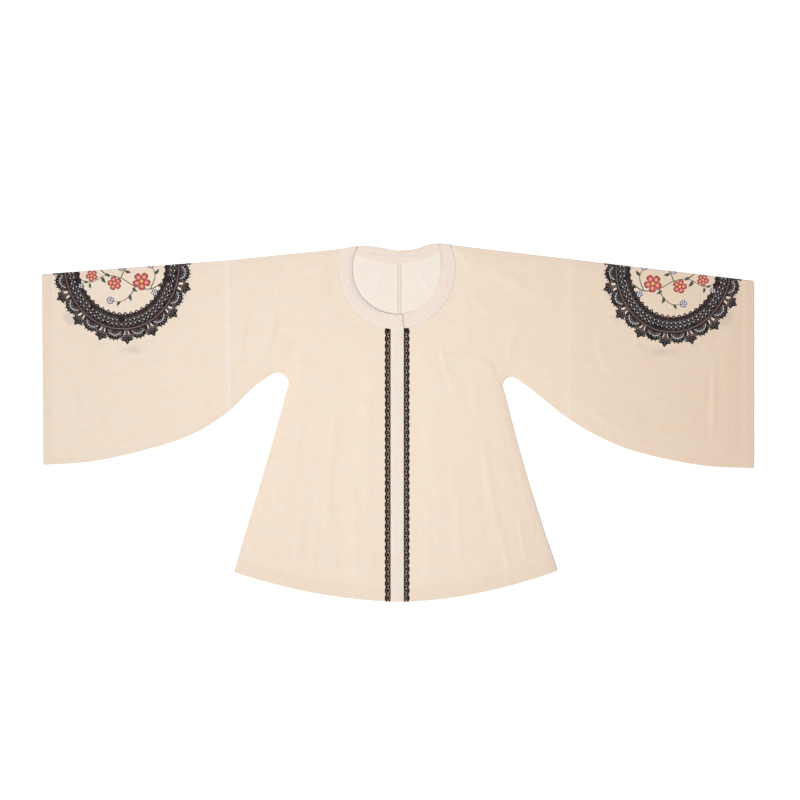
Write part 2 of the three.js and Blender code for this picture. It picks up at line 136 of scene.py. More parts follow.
cloth = {
    "thickness": 0.4,
    "frontColumns": 116,
    "backColumns": 38,
    "sleeveRibs": 156,
    "gather": 0.66,           # how closely the columns crowd at both ends of a rib
    "backFace": 0.45,         # underside of the back layer, just clear of the floor
    "noseFace": 0.95,         # the outermost line of a fold or a closed seam
    "noseRun": 1.6,
    "seamFace": 2.0,          # top of the front beside a fold or a closed seam
    "frontFace": 3.1,
    "puff": 1.2,              # air under the middle of the front
    "settled": 0.5,           # how much of each crease is left after lying
    "edgeRun": 18,
    "calmRun": 60,
    "placketLift": 1.5,       # the upper front lies on the lower placket
    "liftFrom": math.radians(8),
    "liftTo": math.radians(75),
    "stripFlat": 40,
    "stripFade": 110,
    "allowance": 11,          # seam allowance pressed to one side, inside
    "tuck": 0.7,              # how far a panel dips into its seam with a strip
}

# soft creases of the front layer, a row for each:
# fromOut, fromUp, toOut, toUp, sideways bend, rise, reach
creases = {
    "Right": [
        (250, 292, 132, 356, 8, 1.9, 22), (214, 336, 150, 300, -6, -0.8, 16),
        (262, 250, 304, 116, 10, 1.7, 17), (322, 232, 334, 108, -8, 1.0, 15),
        (243, 96, 148, 190, 10, 1.5, 20), (240, 60, 172, 96, -6, 0.9, 13),
        (300, 96, 366, 92, 4, 0.9, 12), (231, 46, 316, -286, -6, 1.0, 15),
        (206, 20, 262, -236, 10, 0.8, 18), (130, 34, 146, -306, -9, 1.4, 20),
        (100, -70, 92, -352, 6, 0.9, 14), (196, -120, 232, -340, 7, 1.2, 17),
        (170, -210, 182, -352, -4, 0.9, 11), (70, 60, 64, -160, 5, 0.6, 16),
        (450, 166, 604, 92, 14, 1.6, 20), (560, 120, 578, 40, 6, 0.8, 14),
        (590, -12, 728, -60, -10, 1.5, 20), (392, 58, 528, -26, 10, 1.3, 17),
        (394, 190, 448, 60, -8, 0.9, 20), (690, 110, 700, -40, 4, 0.9, 14),
        (646, 96, 640, 20, -4, 0.7, 12),
    ],
    "Left": [
        (90, 178, 138, 34, 5, 1.3, 14), (176, 334, 304, 258, -10, 1.3, 22),
        (150, 300, 214, 226, 8, 0.9, 17), (236, 106, 266, 218, -8, 1.6, 17),
        (222, 92, 138, 152, 8, 1.2, 18), (284, 92, 352, 120, -5, 0.9, 13),
        (222, 36, 306, -286, -5, 1.3, 13), (186, -20, 240, -316, 9, 1.4, 18),
        (262, -200, 282, -316, 3, 1.1, 10), (218, -220, 242, -344, -3, 1.2, 11),
        (112, -56, 134, -330, -7, 1.1, 18), (72, -150, 66, -350, 4, 0.8, 14),
        (152, 130, 168, -30, -8, 0.8, 18), (396, 46, 548, -44, 12, 1.6, 18),
        (682, 136, 678, -56, 2, 1.9, 12), (520, 216, 606, 112, -12, 1.2, 20),
        (430, 190, 470, 84, 8, 0.9, 16), (600, 70, 560, -20, 6, 0.9, 14),
        (724, 110, 722, -70, -3, 0.8, 10),
    ],
}

# shallow creases of the back layer, seen in the neck opening and from below, with the same columns
backCreases = {
    "Right": [
        (30, 330, 64, 262, 6, 0.5, 12), (140, 200, 170, -280, 12, 0.6, 20),
        (300, 160, 230, 260, -8, 0.5, 20), (480, 160, 640, 60, 10, 0.6, 22),
    ],
    "Left": [
        (40, 326, 70, 272, -5, 0.5, 11), (120, 160, 200, -300, -12, 0.6, 20),
        (310, 140, 240, 270, 9, 0.5, 20), (500, 190, 600, 20, -10, 0.6, 22),
    ],
}


# small helpers

def lerp(a, b, t):
    return a + (b - a) * t


def between(a, b, t):
    return (lerp(a[0], b[0], t), lerp(a[1], b[1], t))


def smooth(value, low, high):
    t = min(1, max(0, (value - low) / (high - low)))
    return t * t * (3 - 2 * t)


def bell(value, reach):
    return math.exp(-(value / reach) ** 2)


# centripetal Catmull-Rom through the points, at a fractional row
def smoothCurve(points, row):
    index = min(int(row), len(points) - 2)
    t = row - index
    p1, p2 = points[index], points[index + 1]
    p0 = points[index - 1] if index else (2 * p1[0] - p2[0], 2 * p1[1] - p2[1])
    atEnd = index + 2 >= len(points)
    p3 = (2 * p2[0] - p1[0], 2 * p2[1] - p1[1]) if atEnd else points[index + 2]
    d0, d1, d2 = (math.dist(a, b) ** 0.5 for a, b in ((p0, p1), (p1, p2), (p2, p3)))
    result = []
    for x0, x1, x2, x3 in zip(p0, p1, p2, p3):
        slope1 = ((x1 - x0) / d0 - (x2 - x0) / (d0 + d1) + (x2 - x1) / d1) * d1
        slope2 = ((x2 - x1) / d1 - (x3 - x1) / (d1 + d2) + (x3 - x2) / d2) * d1
        cubic = 2 * x1 - 2 * x2 + slope1 + slope2
        square = -3 * x1 + 3 * x2 - 2 * slope1 - slope2
        result.append(x1 + t * (slope1 + t * (square + t * cubic)))
    return tuple(result)


# a smooth curve through evenly spaced values, at t from 0 to 1; step is their spacing and
# scale what they are multiplied by, while the curve is drawn through them
def alongTable(values, t, step, scale=1):
    points = [(step * place, scale * value) for place, value in enumerate(values)]
    return smoothCurve(points, t * (len(points) - 1))[1] / scale


# a flat grid, as a list of (vertex, column, row)
def newGrid(bm, columns, rows):
    made = bmesh.ops.create_grid(bm, x_segments=columns, y_segments=rows, size=1)["verts"]
    return [(vert, round((vert.co.x + 1) / 2 * columns), round((vert.co.y + 1) / 2 * rows))
            for vert in made]


# a sheet of columns by rows; place turns (u, w), both 0 to 1, into a point
def gridSheet(bm, columns, rows, place):
    grid = newGrid(bm, columns, rows)
    for vert, column, row in grid:
        vert.co = place(column / columns, row / rows)
    return [vert for vert, _, _ in grid]


# an open sheet faces up where it is highest
def faceUp(bm):
    bm.normal_update()
    top = max(bm.faces, key=lambda face: face.calc_center_median().z)
    if top.normal.z < 0:
        bmesh.ops.reverse_faces(bm, faces=bm.faces)
        bm.normal_update()


def keepPiece(name, bm, materials, nodes=()):
    bmesh.ops.scale(bm, vec=Vector((mm, mm, mm)), verts=bm.verts)
    mesh = bpy.data.meshes.new(name)
    bm.to_mesh(mesh)
    bm.free()
    for material in materials:
        mesh.materials.append(material)
    mesh.shade_smooth()
    piece = bpy.data.objects.new(name, mesh)
    bpy.context.collection.objects.link(piece)
    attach(piece, "root")
    if nodes:
        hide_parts(*nodes)
    return piece


def thicken(piece, thickness, edge=0):
    wall = piece.modifiers.new("wall", "SOLIDIFY")
    wall.thickness = thickness * mm
    wall.offset = -1
    if edge:
        rounded = piece.modifiers.new("edge", "BEVEL")
        rounded.width = edge * mm
        rounded.segments = 2
        rounded.limit_method = "ANGLE"
        rounded.angle_limit = math.radians(50)
    else:
        crisp = piece.modifiers.new("crispEdge", "EDGE_SPLIT")
        crisp.split_angle = math.radians(50)


# materials

def linear(hexColor):
    values = [int(hexColor[i:i + 2], 16) / 255 for i in (1, 3, 5)]
    return tuple(v / 12.92 if v <= 0.04045 else ((v + 0.055) / 1.055) ** 2.4 for v in values) + (1,)


# keys of settings are input names or numbers, or else properties of the node
def addNode(tree, kind, settings=None, links=None):
    made = tree.nodes.new(kind)
    for key, value in (settings or {}).items():
        if isinstance(key, int) or key in made.inputs:
            made.inputs[key].default_value = value
        else:
            setattr(made, key, value)
    for key, (source, output) in (links or {}).items():
        tree.links.new(source.outputs[output], made.inputs[key])
    return made


def startMaterial(name, settings):
    material = bpy.data.materials.new(name)
    material.use_nodes = True
    shader = material.node_tree.nodes["Principled BSDF"]
    for key, value in settings.items():
        shader.inputs[key].default_value = value
    return material, material.node_tree, shader


mixFactor, mixA, mixB, mixResult = 0, 6, 7, 2    # sockets of a colour Mix node


# Handloom-look cotton and linen voile: thin, matt, with thick and thin yarns both ways.
# Its yarns lie 0.35 mm apart; only the thick ones show here, so slubs are drawn 3 mm wide.
voile = {
    "color": "#e0d0be",
    "warm": "#e1ccb5",        # faint yellow clouds in the undyed cloth
    "falloffShade": "#faf3ee",        # painted shade: the light falls off towards the wearer's left cuff, so the cloth is painted a shade darker there
    "layers": "#dbc8b6",      # several layers under each other let less white through; the same colour is also painted shade on the collar, beside its seam and along the back allowance
    "showThroughAndShade": "#a9a7a8",       # the printed underlayer, seen through the cloth; its grey is also painted shade on the collar and the back allowance
    "pale": "#e2d8cd",        # paler: the back in the neck opening, one layer only over white, and a soft band along the seam between body and sleeve
    "slubWidth": 3.0,
    "slubLength": 70,
    "yarnWidth": 0.8,
    "yarnLength": 16,
    "cloudSize": 28,
    "bump": 0.00025,          # metres
}


def yarnNoise(tree, place, acrossX, acrossY, detail):
    scaled = addNode(tree, "ShaderNodeMapping",
                     {"Scale": (1000 / acrossX, 1000 / acrossY, 40)}, {"Vector": (place, "Object")})
    return addNode(tree, "ShaderNodeTexNoise", {"Scale": 1, "Detail": detail, "Roughness": 0.6},
                   {"Vector": (scaled, "Vector")})


def clothMaterial(name, setup, color, strength=1):
    material, tree, shader = startMaterial(name, {
        "Roughness": 0.92, "IOR": 1.5, "Specular IOR Level": 0.25,
        "Sheen Weight": 0.12, "Sheen Roughness": 0.6,
    })
    place = addNode(tree, "ShaderNodeTexCoord")
    width, length = setup["slubWidth"], setup["slubLength"]
    weft = yarnNoise(tree, place, length, width, 3)
    warp = yarnNoise(tree, place, width, length * 1.4, 3)
    crinkle = yarnNoise(tree, place, 5, 5, 4)
    thin, run = setup["yarnWidth"], setup["yarnLength"]
    fineWeft = yarnNoise(tree, place, run, thin, 1)
    fineWarp = yarnNoise(tree, place, thin, run, 1)
    grid = addNode(tree, "ShaderNodeMath", {"operation": "ADD"},
                   {0: (fineWeft, "Fac"), 1: (fineWarp, "Fac")})
    cloud = yarnNoise(tree, place, setup["cloudSize"], setup["cloudSize"], 2)
    axes = addNode(tree, "ShaderNodeSeparateXYZ", links={"Vector": (place, "Object")})
    lower = addNode(tree, "ShaderNodeMapRange", {"From Min": 0.06, "From Max": -0.18},
                    {"Value": (axes, "Y")})
    weave = addNode(tree, "ShaderNodeMix", {"data_type": "FLOAT"},
                    {0: (lower, "Result"), 2: (weft, "Fac"), 3: (warp, "Fac")})
    # mask of the painted light falloff, rising along X towards the wearer's left
    leftward = addNode(tree, "ShaderNodeMapRange", {"From Min": 0.08, "From Max": 0.72},
                       {"Value": (axes, "X")})
    tone = addNode(tree, "ShaderNodeMapRange",
                   {"From Min": 0.3, "From Max": 0.7, "To Min": 1 - 0.022 * strength,
                    "To Max": 1 + 0.016 * strength}, {"Value": (weave, 0)})
    clouded = addNode(tree, "ShaderNodeMapRange",
                      {"From Min": 0.48, "From Max": 0.72, "To Max": 0.5}, {"Value": (cloud, "Fac")})
    dyed = addNode(tree, "ShaderNodeMix",
                   {"data_type": "RGBA", mixA: linear(color), mixB: linear(setup["warm"])},
                   {mixFactor: (clouded, "Result")})
    # these attributes carry layered cloth, the print seen through, paler cloth and painted shade
    for painted in ("layers", "showThroughAndShade", "pale"):
        amount = addNode(tree, "ShaderNodeAttribute", {"attribute_name": painted})
        dyed = addNode(tree, "ShaderNodeMix", {"data_type": "RGBA", mixB: linear(setup[painted])},
                       {mixFactor: (amount, "Fac"), mixA: (dyed, mixResult)})
    # painted light falloff: the cloth is multiplied a shade darker towards the wearer's left, away from the
    # light
    falloffShaded = addNode(tree, "ShaderNodeMix",
                       {"data_type": "RGBA", "blend_type": "MULTIPLY", mixB: linear(setup["falloffShade"])},
                       {mixFactor: (leftward, "Result"), mixA: (dyed, mixResult)})
    threads = addNode(tree, "ShaderNodeMapRange",
                      {"From Min": 0.7, "From Max": 1.3, "To Min": 0.965, "To Max": 1.03},
                      {"Value": (grid, 0)})
    shading = addNode(tree, "ShaderNodeMath", {"operation": "MULTIPLY"},
                      {0: (tone, "Result"), 1: (threads, "Result")})
    toned = addNode(tree, "ShaderNodeVectorMath", {"operation": "SCALE"},
                    {0: (falloffShaded, mixResult), "Scale": (shading, 0)})
    tree.links.new(toned.outputs[0], shader.inputs["Base Color"])
    slubs = addNode(tree, "ShaderNodeMath", {"operation": "ADD"}, {0: (weave, 0), 1: (crinkle, "Fac")})
    rough = addNode(tree, "ShaderNodeMath", {"operation": "MULTIPLY_ADD", 1: 0.35},
                    {0: (grid, 0), 2: (slubs, 0)})
    bump = addNode(tree, "ShaderNodeBump",
                   {"Strength": 0.8, "Distance": setup["bump"] * strength}, {"Height": (rough, 0)})
    tree.links.new(bump.outputs["Normal"], shader.inputs["Normal"])
    return material


bodyCloth = clothMaterial("undyedCottonVoile", voile, voile["color"])
bandCloth = clothMaterial("undyedCottonBand", voile, "#ded1c7", 0.8)


# Two shades mixed by a grain, which is given as its size in mm along X and Y and its detail.
# contrast narrows the noise values over which they mix; bump is strength and depth in metres.
def shadedMaterial(name, shaderSettings, grain, shades, contrast=None, bump=None):
    material, tree, shader = startMaterial(name, shaderSettings)
    place = addNode(tree, "ShaderNodeTexCoord")
    strand = yarnNoise(tree, place, *grain)
    factor = (strand, "Fac")
    if contrast:
        worn = addNode(tree, "ShaderNodeMapRange", {"From Min": contrast[0], "From Max": contrast[1]},
                       {"Value": factor})
        factor = (worn, "Result")
    shade = addNode(tree, "ShaderNodeMix",
                    {"data_type": "RGBA", mixA: linear(shades[0]), mixB: linear(shades[1])},
                    {mixFactor: factor})
    tree.links.new(shade.outputs[mixResult], shader.inputs["Base Color"])
    if bump:
        relief = addNode(tree, "ShaderNodeBump", {"Strength": bump[0], "Distance": bump[1]},
                         {"Height": (strand, "Fac")})
        tree.links.new(relief.outputs["Normal"], shader.inputs["Normal"])
    return material


# Spun polyester sewing thread, a shade deeper than the cloth, matt and slightly hairy.
sewingThread = shadedMaterial("sewingThread", {"Roughness": 0.8, "Sheen Weight": 0.2},
                              (0.6, 0.6, 2), ("#dfccb8", "#efe2d2"))

# Cotton crochet lace yarn dyed black: matt, fuzzy, its strands 0.5 mm thick.
blackLace = shadedMaterial(
    "blackLaceYarn",
    {"Roughness": 0.9, "Specular IOR Level": 0.2, "Sheen Weight": 0.06, "Sheen Roughness": 0.5},
    (0.9, 0.9, 3), ("#0f0605", "#2a1a1b"), bump=(0.8, 0.0002))

# Pigment printed on the cloth: flat and matt, thin on the thick yarns, which stay lighter.
inkShades = {
    "black": ("#171315", "#3c3537"), "plum": ("#36201f", "#5a403d"), "grey": ("#6f6b6b", "#949090"),
    "white": ("#eae6e2", "#f2efec"), "coral": ("#a8413d", "#b9615a"), "blush": ("#d98c7e", "#e0a99c"),
    "blue": ("#4a5a86", "#7f8bac"), "leaf": ("#23332d", "#46554a"), "gold": ("#d9a860", "#e2bd83"),
}
inks = [shadedMaterial("printed" + name.capitalize(), {"Roughness": 0.9, "Specular IOR Level": 0.2},
                       (9, 1.4, 3), shades, (0.42, 0.75), (0.6, 0.00015))
        for name, shades in inkShades.items()]
print("materials made")


# outline of the panels

def hemUp(halfName, out):
    cornerOut, cornerUp = underarm[halfName][hemRow]
    lowUp = halves[halfName]["hemLowUp"]
    return lowUp + (cornerUp - lowUp) * (max(out, 0) / cornerOut) ** cut["hemPower"]


def roundNeck(half, radius, turn):
    return (half["squeeze"] * radius * math.sin(turn), cut["neckCentreUp"] - radius * math.cos(turn))


# up of the round neck seam near the centre front
def neckSeamUp(half, out):
    return cut["neckCentreUp"] - math.sqrt(half["seamRadius"] ** 2 - out * out)


# turns of the neck seam, from the front edge (0) to the shoulder fold (1)
def neckTurn(half, t):
    frontTurn = math.asin(cut["halfPlacket"] / (half["squeeze"] * half["seamRadius"]))
    topTurn = math.acos((cut["neckCentreUp"] - half["neckTopUp"]) / half["seamRadius"])
    return lerp(frontTurn, topTurn, t)


# the neck seam of the back layer, from the centre back (0) to the shoulder fold (1)
def backNeckPoint(half, t):
    topOut, topUp = roundNeck(half, half["seamRadius"], neckTurn(half, 1))
    return (topOut * t, cut["backNeckUp"] + (topUp - cut["backNeckUp"]) * t * t)


def frontStart(halfName, along):
    half = halves[halfName]
    if along <= 1:
        return between(half["foldSeam"], roundNeck(half, half["seamRadius"], neckTurn(half, 1)), along)
    if along <= 2:
        return roundNeck(half, half["seamRadius"], neckTurn(half, 2 - along))
    out = cut["halfPlacket"]
    neckUp = roundNeck(half, half["seamRadius"], neckTurn(half, 0))[1]
    return (out, lerp(neckUp, hemUp(halfName, out), along - 2))


def backStart(halfName, along):
    half = halves[halfName]
    if along <= 1:
        return frontStart(halfName, along)
    if along <= 2:
        return backNeckPoint(half, 2 - along)
    return (0, lerp(cut["backNeckUp"], hemUp(halfName, 0), along - 2))


# out of the seam between body and sleeve extension, at a given up
def extensionSeam(halfName, up):
    top, foot = halves[halfName]["foldSeam"], underarm[halfName][seamRow]
    return lerp(top[0], foot[0], (top[1] - up) / (top[1] - foot[1]))


def bodyRib(halfName, index):
    left = index
    for before, after in zip(bodyStations, bodyStations[1:]):
        if left <= after["ribs"]:
            break
        left -= after["ribs"]
    t = left / after["ribs"]
    along = lerp(before["along"], after["along"], t)
    return {
        "along": along,
        "front": frontStart(halfName, along),
        "back": backStart(halfName, along),
        "foot": smoothCurve(underarm[halfName], lerp(before["foot"], after["foot"], t)),
        "bow": lerp(before["bow"], after["bow"], t),
        "open": smooth(along, 1, 1.1),
    }


def sleeveRib(halfName, index):
    half = halves[halfName]
    t = index / cloth["sleeveRibs"]
    top = between(half["foldCuff"], half["foldSeam"], t)
    foot = smoothCurve(underarm[halfName], seamRow * t)
    return {"along": 0, "front": top, "back": top, "foot": foot, "bow": 0, "open": 0}


def layerPoint(halfName, rib, layer, v):
    start, foot = rib[layer], rib["foot"]
    out, up = between(start, foot, v)
    bulge = smooth(rib["along"], swell["from"], swell["full"])
    bulge *= 2 * v * (1 - v) * (1 - smooth(rib["along"], swell["full"], swell["until"]))
    out, up = out + bulge * swell["out"], up + bulge * swell["up"]
    if rib["bow"]:
        chord = lerp(hemUp(halfName, start[0]), hemUp(halfName, foot[0]), v)
        up += rib["bow"] * (hemUp(halfName, out) - chord)
    return out, up


# heights of the cloth

def creaseHeight(rows, out, up):
    height = 0
    for fromOut, fromUp, toOut, toUp, bend, rise, reach in rows:
        runOut, runUp = toOut - fromOut, toUp - fromUp
        length = math.hypot(runOut, runUp)
        t = ((out - fromOut) * runOut + (up - fromUp) * runUp) / length ** 2
        if not -0.05 < t < 1.05:
            continue
        off = ((out - fromOut) * runUp - (up - fromUp) * runOut) / length
        off -= bend * 4 * t * (1 - t)
        reach *= 0.8 + 0.35 * t
        if abs(off) > 2.5 * reach:
            continue
        ends = smooth(t, -0.05, 0.3) * (1 - smooth(t, 0.6, 1.05))
        ridge = bell(off, 0.5 * reach) - 0.38 * bell(off - 0.95 * reach, 0.55 * reach)
        height += rise * ridge * ends
    return height


def ripple(x, y, size, seed):
    return noise.noise(Vector((x / size, y / size, seed)))


# the air and the creases die out near an edge
def calm(rib, length, v, out, up, halfName):
    fromStart = length * v
    folded = smooth(fromStart, 0, cloth["calmRun"])
    beside = smooth(fromStart, cloth["stripFlat"] * 0.3, cloth["stripFade"] * 0.7)
    start = lerp(folded, beside, rib["open"])
    hem = 1
    if out < cut["hemReach"]:
        hem = smooth(up - hemUp(halfName, out), cut["hemDepth"], cut["hemDepth"] + 40)
    cuff = smooth(halves[halfName]["foldCuff"][0] - out, cut["cuffDepth"], cut["cuffDepth"] + 40)
    return start * smooth(length * (1 - v), 4, cloth["calmRun"]) * hem * cuff


def panelLift(half, along, distance):
    if not half["upper"] or along <= 1:
        return 0
    turn = neckTurn(half, max(0, 2 - along))
    roundTheNeck = 1 - smooth(turn, cloth["liftFrom"], cloth["liftTo"])
    fromStrip = 1 - smooth(distance, cloth["stripFlat"], cloth["stripFade"])
    return cloth["placketLift"] * roundTheNeck * fromStrip


# distances to the worked edges, used for thickness, puckers and stitch lines
def edgeGaps(halfName, length, v, out, up):
    return {
        "start": length * v,
        "foot": length * (1 - v),
        "hem": up - hemUp(halfName, out) if out < cut["hemReach"] else 999,
        "cuff": halves[halfName]["foldCuff"][0] - out,
        "seam": out - extensionSeam(halfName, up),
    }


def seamRelief(gaps, x, y, seed):
    height = 0
    # turned-up hem and cuff, held down by their stitches
    for name, depth in (("hem", cut["hemDepth"]), ("cuff", cut["cuffDepth"])):
        gap = gaps[name]
        if gap < depth + 14:
            along = x if name == "hem" else y
            pucker = noise.noise(Vector((along / 7, gap / 30, seed)))
            height += 0.28 * (1 - smooth(gap, depth - 1.5, depth + 1))
            height -= 0.3 * bell(gap - depth, 1.6)
            height += 0.2 * pucker * bell(gap - depth, 9)
    # allowance of the closed seam, pressed to the front
    edge = gaps["foot"]
    if edge < cloth["allowance"] + 8:
        height += 0.34 * (1 - smooth(edge, cloth["allowance"] - 1.5, cloth["allowance"] + 1.2))
        height += 0.22 * noise.noise(Vector((x / 9, y / 9, seed + 3))) * bell(edge - 6, 10)
    # seam between body and sleeve extension
    seam = gaps["seam"]
    if abs(seam) < 30:
        height -= 0.1 * bell(seam, 4)
        height += 0.2 * smooth(seam, -12, -7) * (1 - smooth(seam, -6, -1))
        height += 0.16 * noise.noise(Vector((y / 8, seam / 40, seed + 5))) * bell(seam, 9)
    return height


# how far the cloth has rounded up to its face beside a fold or a closed seam, 0 to 1
def roundedEdge(gaps, rib):
    start, foot = (math.sqrt(1 - (1 - min(1, gaps[name] / cloth["noseRun"])) ** 2)
                   for name in ("start", "foot"))
    return lerp(start, 1, rib["open"]) * foot


def frontHeight(halfName, rib, v, out, up):
    half = halves[halfName]
    length = math.dist(rib["front"], rib["foot"])
    gaps = edgeGaps(halfName, length, v, out, up)
    quiet = calm(rib, length, v, out, up, halfName)
    startEdge = lerp(smooth(gaps["start"], 0, cloth["edgeRun"]), 1, rib["open"])
    edge = startEdge * smooth(gaps["foot"], 0, cloth["edgeRun"])
    loft = quiet * (cloth["puff"] + cloth["settled"] * creaseHeight(creases[halfName], out, up)
                    + 0.4 * ripple(out, up, 70, half["side"]) + 0.2 * ripple(out, up, 24, half["side"] + 4))
    top = lerp(cloth["seamFace"], cloth["frontFace"] + loft, edge)
    top += seamRelief(gaps, out, up, half["side"]) + 0.13 * ripple(out, up, 9, half["side"] + 7) * edge
    top += panelLift(half, rib["along"], gaps["start"])
    top -= cloth["tuck"] * bell(gaps["start"], 2.2) * rib["open"]
    return lerp(cloth["noseFace"], max(top, cloth["seamFace"] * 0.6), roundedEdge(gaps, rib)), gaps


def backHeight(halfName, rib, v, out, up):
    length = math.dist(rib["back"], rib["foot"])
    gaps = edgeGaps(halfName, length, v, out, up)
    inner = smooth(gaps["foot"], 4, 40) * lerp(smooth(gaps["start"], 4, 40), 1, rib["open"])
    lowered = max(0, creaseHeight(backCreases[halfName], out, up)) + 0.1 + 0.1 * ripple(out, up, 30, 20)
    under = cloth["backFace"] + inner * lowered
    return lerp(cloth["noseFace"], under, roundedEdge(gaps, rib)), gaps


# the printed underside shows faintly through the sleeve

medallion = {
    "centreOut": 592,
    "centreDown": -9,         # the middle of the print lies just behind the fold
    "alongRadius": 143,
    "downRadius": 162,
    "fans": 16,
    "fanSize": 24,
    "trefoilSize": 19,
    "scrollSize": 10,
    "netMeshes": 72,
    "lift": 0.1,              # gap between the print and the cloth
    "layerStep": 0.035,       # each colour lies this much above the one before
}


def foldFrame(halfName):
    half = halves[halfName]
    start, end = half["foldSeam"], half["foldCuff"]
    length = math.dist(start, end)
    along = ((end[0] - start[0]) / length, (end[1] - start[1]) / length)
    t = (medallion["centreOut"] - start[0]) / (end[0] - start[0])
    return between(start, end, t), along, (along[1], -along[0])


def ghostAmount(halfName, out, up):
    origin, along, down = foldFrame(halfName)
    a = (out - origin[0]) * along[0] + (up - origin[1]) * along[1]
    d = (out - origin[0]) * down[0] + (up - origin[1]) * down[1]
    turn = math.atan2(d / medallion["downRadius"], a / medallion["alongRadius"])
    radius = math.hypot(a / medallion["alongRadius"],
                        (d + 2 * medallion["centreDown"]) / medallion["downRadius"])
    lobes = 0.05 * abs(math.sin(8 * turn))
    ring = smooth(radius, 0.88, 0.94) * (1 - smooth(radius, 0.97 + lobes, 1.03 + lobes))
    return 0.34 * ring * smooth(ripple(out, up, 34, 11), -0.15, 0.45)


# panels

surfaces = {}


def makePanel(kind, halfName, ribOf, ribCount, ghosted):
    half = halves[halfName]
    ribs = [ribOf(halfName, index) for index in range(ribCount + 1)]
    frontCount, backCount = cloth["frontColumns"], cloth["backColumns"]
    bm = bmesh.new()
    layers = bm.verts.layers.float.new("layers")
    showThroughAndShade = bm.verts.layers.float.new("showThroughAndShade")
    pale = bm.verts.layers.float.new("pale")
    for vert, ribIndex, column in newGrid(bm, ribCount, frontCount + backCount):
        rib = ribs[ribIndex]
        isFront = column <= frontCount
        s = column / frontCount if isFront else 1 - (column - frontCount) / backCount
        v = s - cloth["gather"] * math.sin(2 * math.pi * s) / (2 * math.pi)
        layer = "front" if isFront else "back"
        out, up = layerPoint(halfName, rib, layer, v)
        height, gaps = (frontHeight if isFront else backHeight)(halfName, rib, v, out, up)
        vert.co = (half["side"] * out, up, height)
        # doubled cloth at hem, cuff and seam allowance, and painted shadow beside the collar seam
        doubledAndShaded = max(1 - smooth(gaps["hem"], cut["hemDepth"] + 2, cut["hemDepth"] + 17),
                     0.6 - 0.6 * smooth(gaps["cuff"], cut["cuffDepth"] - 1, cut["cuffDepth"] + 1),
                     0.45 - 0.45 * smooth(gaps["foot"], cloth["allowance"] - 2, cloth["allowance"] + 2),
                     # painted shadow: a darker line on the front beside the collar seam, cast by the
                     # collar's raised edge
                     rib["open"] * (rib["along"] < 2) * isFront * bell(gaps["start"], 2.4)
                     * (0.8 if half["upper"] else 1.9))
        vert[layers] = 0.42 * doubledAndShaded
        if ghosted and isFront:
            vert[showThroughAndShade] = ghostAmount(halfName, out, up)
        if isFront:
            vert[pale] = 0.4 * (1 - smooth(abs(gaps["seam"]), 5, 9))
        else:
            vert[pale] = 1 - smooth(math.dist((out, up), (0, cut["neckCentreUp"])), 112, 140)
    bmesh.ops.remove_doubles(bm, verts=bm.verts, dist=mergeGap)
    faceUp(bm)
    surfaces[kind + halfName] = BVHTree.FromBMesh(bm)
    nodes = {"body": "body_panel_", "sleeve": "sleeve_extension_"}
    piece = keepPiece(kind + "Panel" + halfName, bm, [bodyCloth], [nodes[kind] + halfName.lower()])
    thicken(piece, cloth["thickness"])
    return piece


bodyRibCount = sum(station["ribs"] for station in bodyStations)
for halfName in halves:
    makePanel("body", halfName, bodyRib, bodyRibCount, False)
    makePanel("sleeve", halfName, sleeveRib, cloth["sleeveRibs"], True)
print("panels laid out")


# the point of a panel's outer surface above (or below) a place, raised along its normal
def onPanel(kind, halfName, out, up, raised, under=False):
    side = halves[halfName]["side"]
    tree = surfaces[kind + halfName]
    start = Vector((side * out, up, -20 if under else 30))
    hit = tree.ray_cast(start, Vector((0, 0, 1 if under else -1)))
    if hit[0] is None:
        hit = tree.find_nearest(Vector((side * out, up, cloth["noseFace"])))
    normal = hit[1]
    if (normal.z < 0) != under:
        normal = -normal
    return hit[0] + normal * raised


# centre back seam allowance, pressed to the wearer's left

allowanceStrip = {"from": -0.6, "to": 8.2, "face": 1.45, "thickness": 0.55, "rows": 220, "columns": 12}


def centreBackAllowance(setup):
    top = cut["backNeckUp"] - 1.5
    bottom = hemUp("Right", 0) + cut["hemDepth"] * 0.4

    def place(u, w):
        up = lerp(top, bottom, w)
        wave = 0.35 * ripple(0, up, 12, 31)
        x = lerp(setup["from"], setup["to"] + wave, u)
        return (x, up, setup["face"] + 0.1 * (1 - (2 * u - 1) ** 2) + 0.06 * ripple(x, up, 9, 32))

    bm = bmesh.new()
    layers = bm.verts.layers.float.new("layers")
    showThroughAndShade = bm.verts.layers.float.new("showThroughAndShade")
    for vert in gridSheet(bm, setup["columns"], setup["rows"], place):
        u = (vert.co.x - setup["from"]) / (setup["to"] - setup["from"])
        # darker lines near both edges of the strip: partly the seam line itself, partly painted shade
        # beside the strip's raised edges
        vert[layers] = max(bell(u - 0.14, 0.13), 0.85 * bell(u - 0.84, 0.16))
        vert[showThroughAndShade] = 0.28 * bell(u - 0.14, 0.12)
    faceUp(bm)
    piece = keepPiece("centreBackAllowance", bm, [bodyCloth])
    thicken(piece, setup["thickness"])
    return piece


backAllowance = centreBackAllowance(allowanceStrip)

# collar band

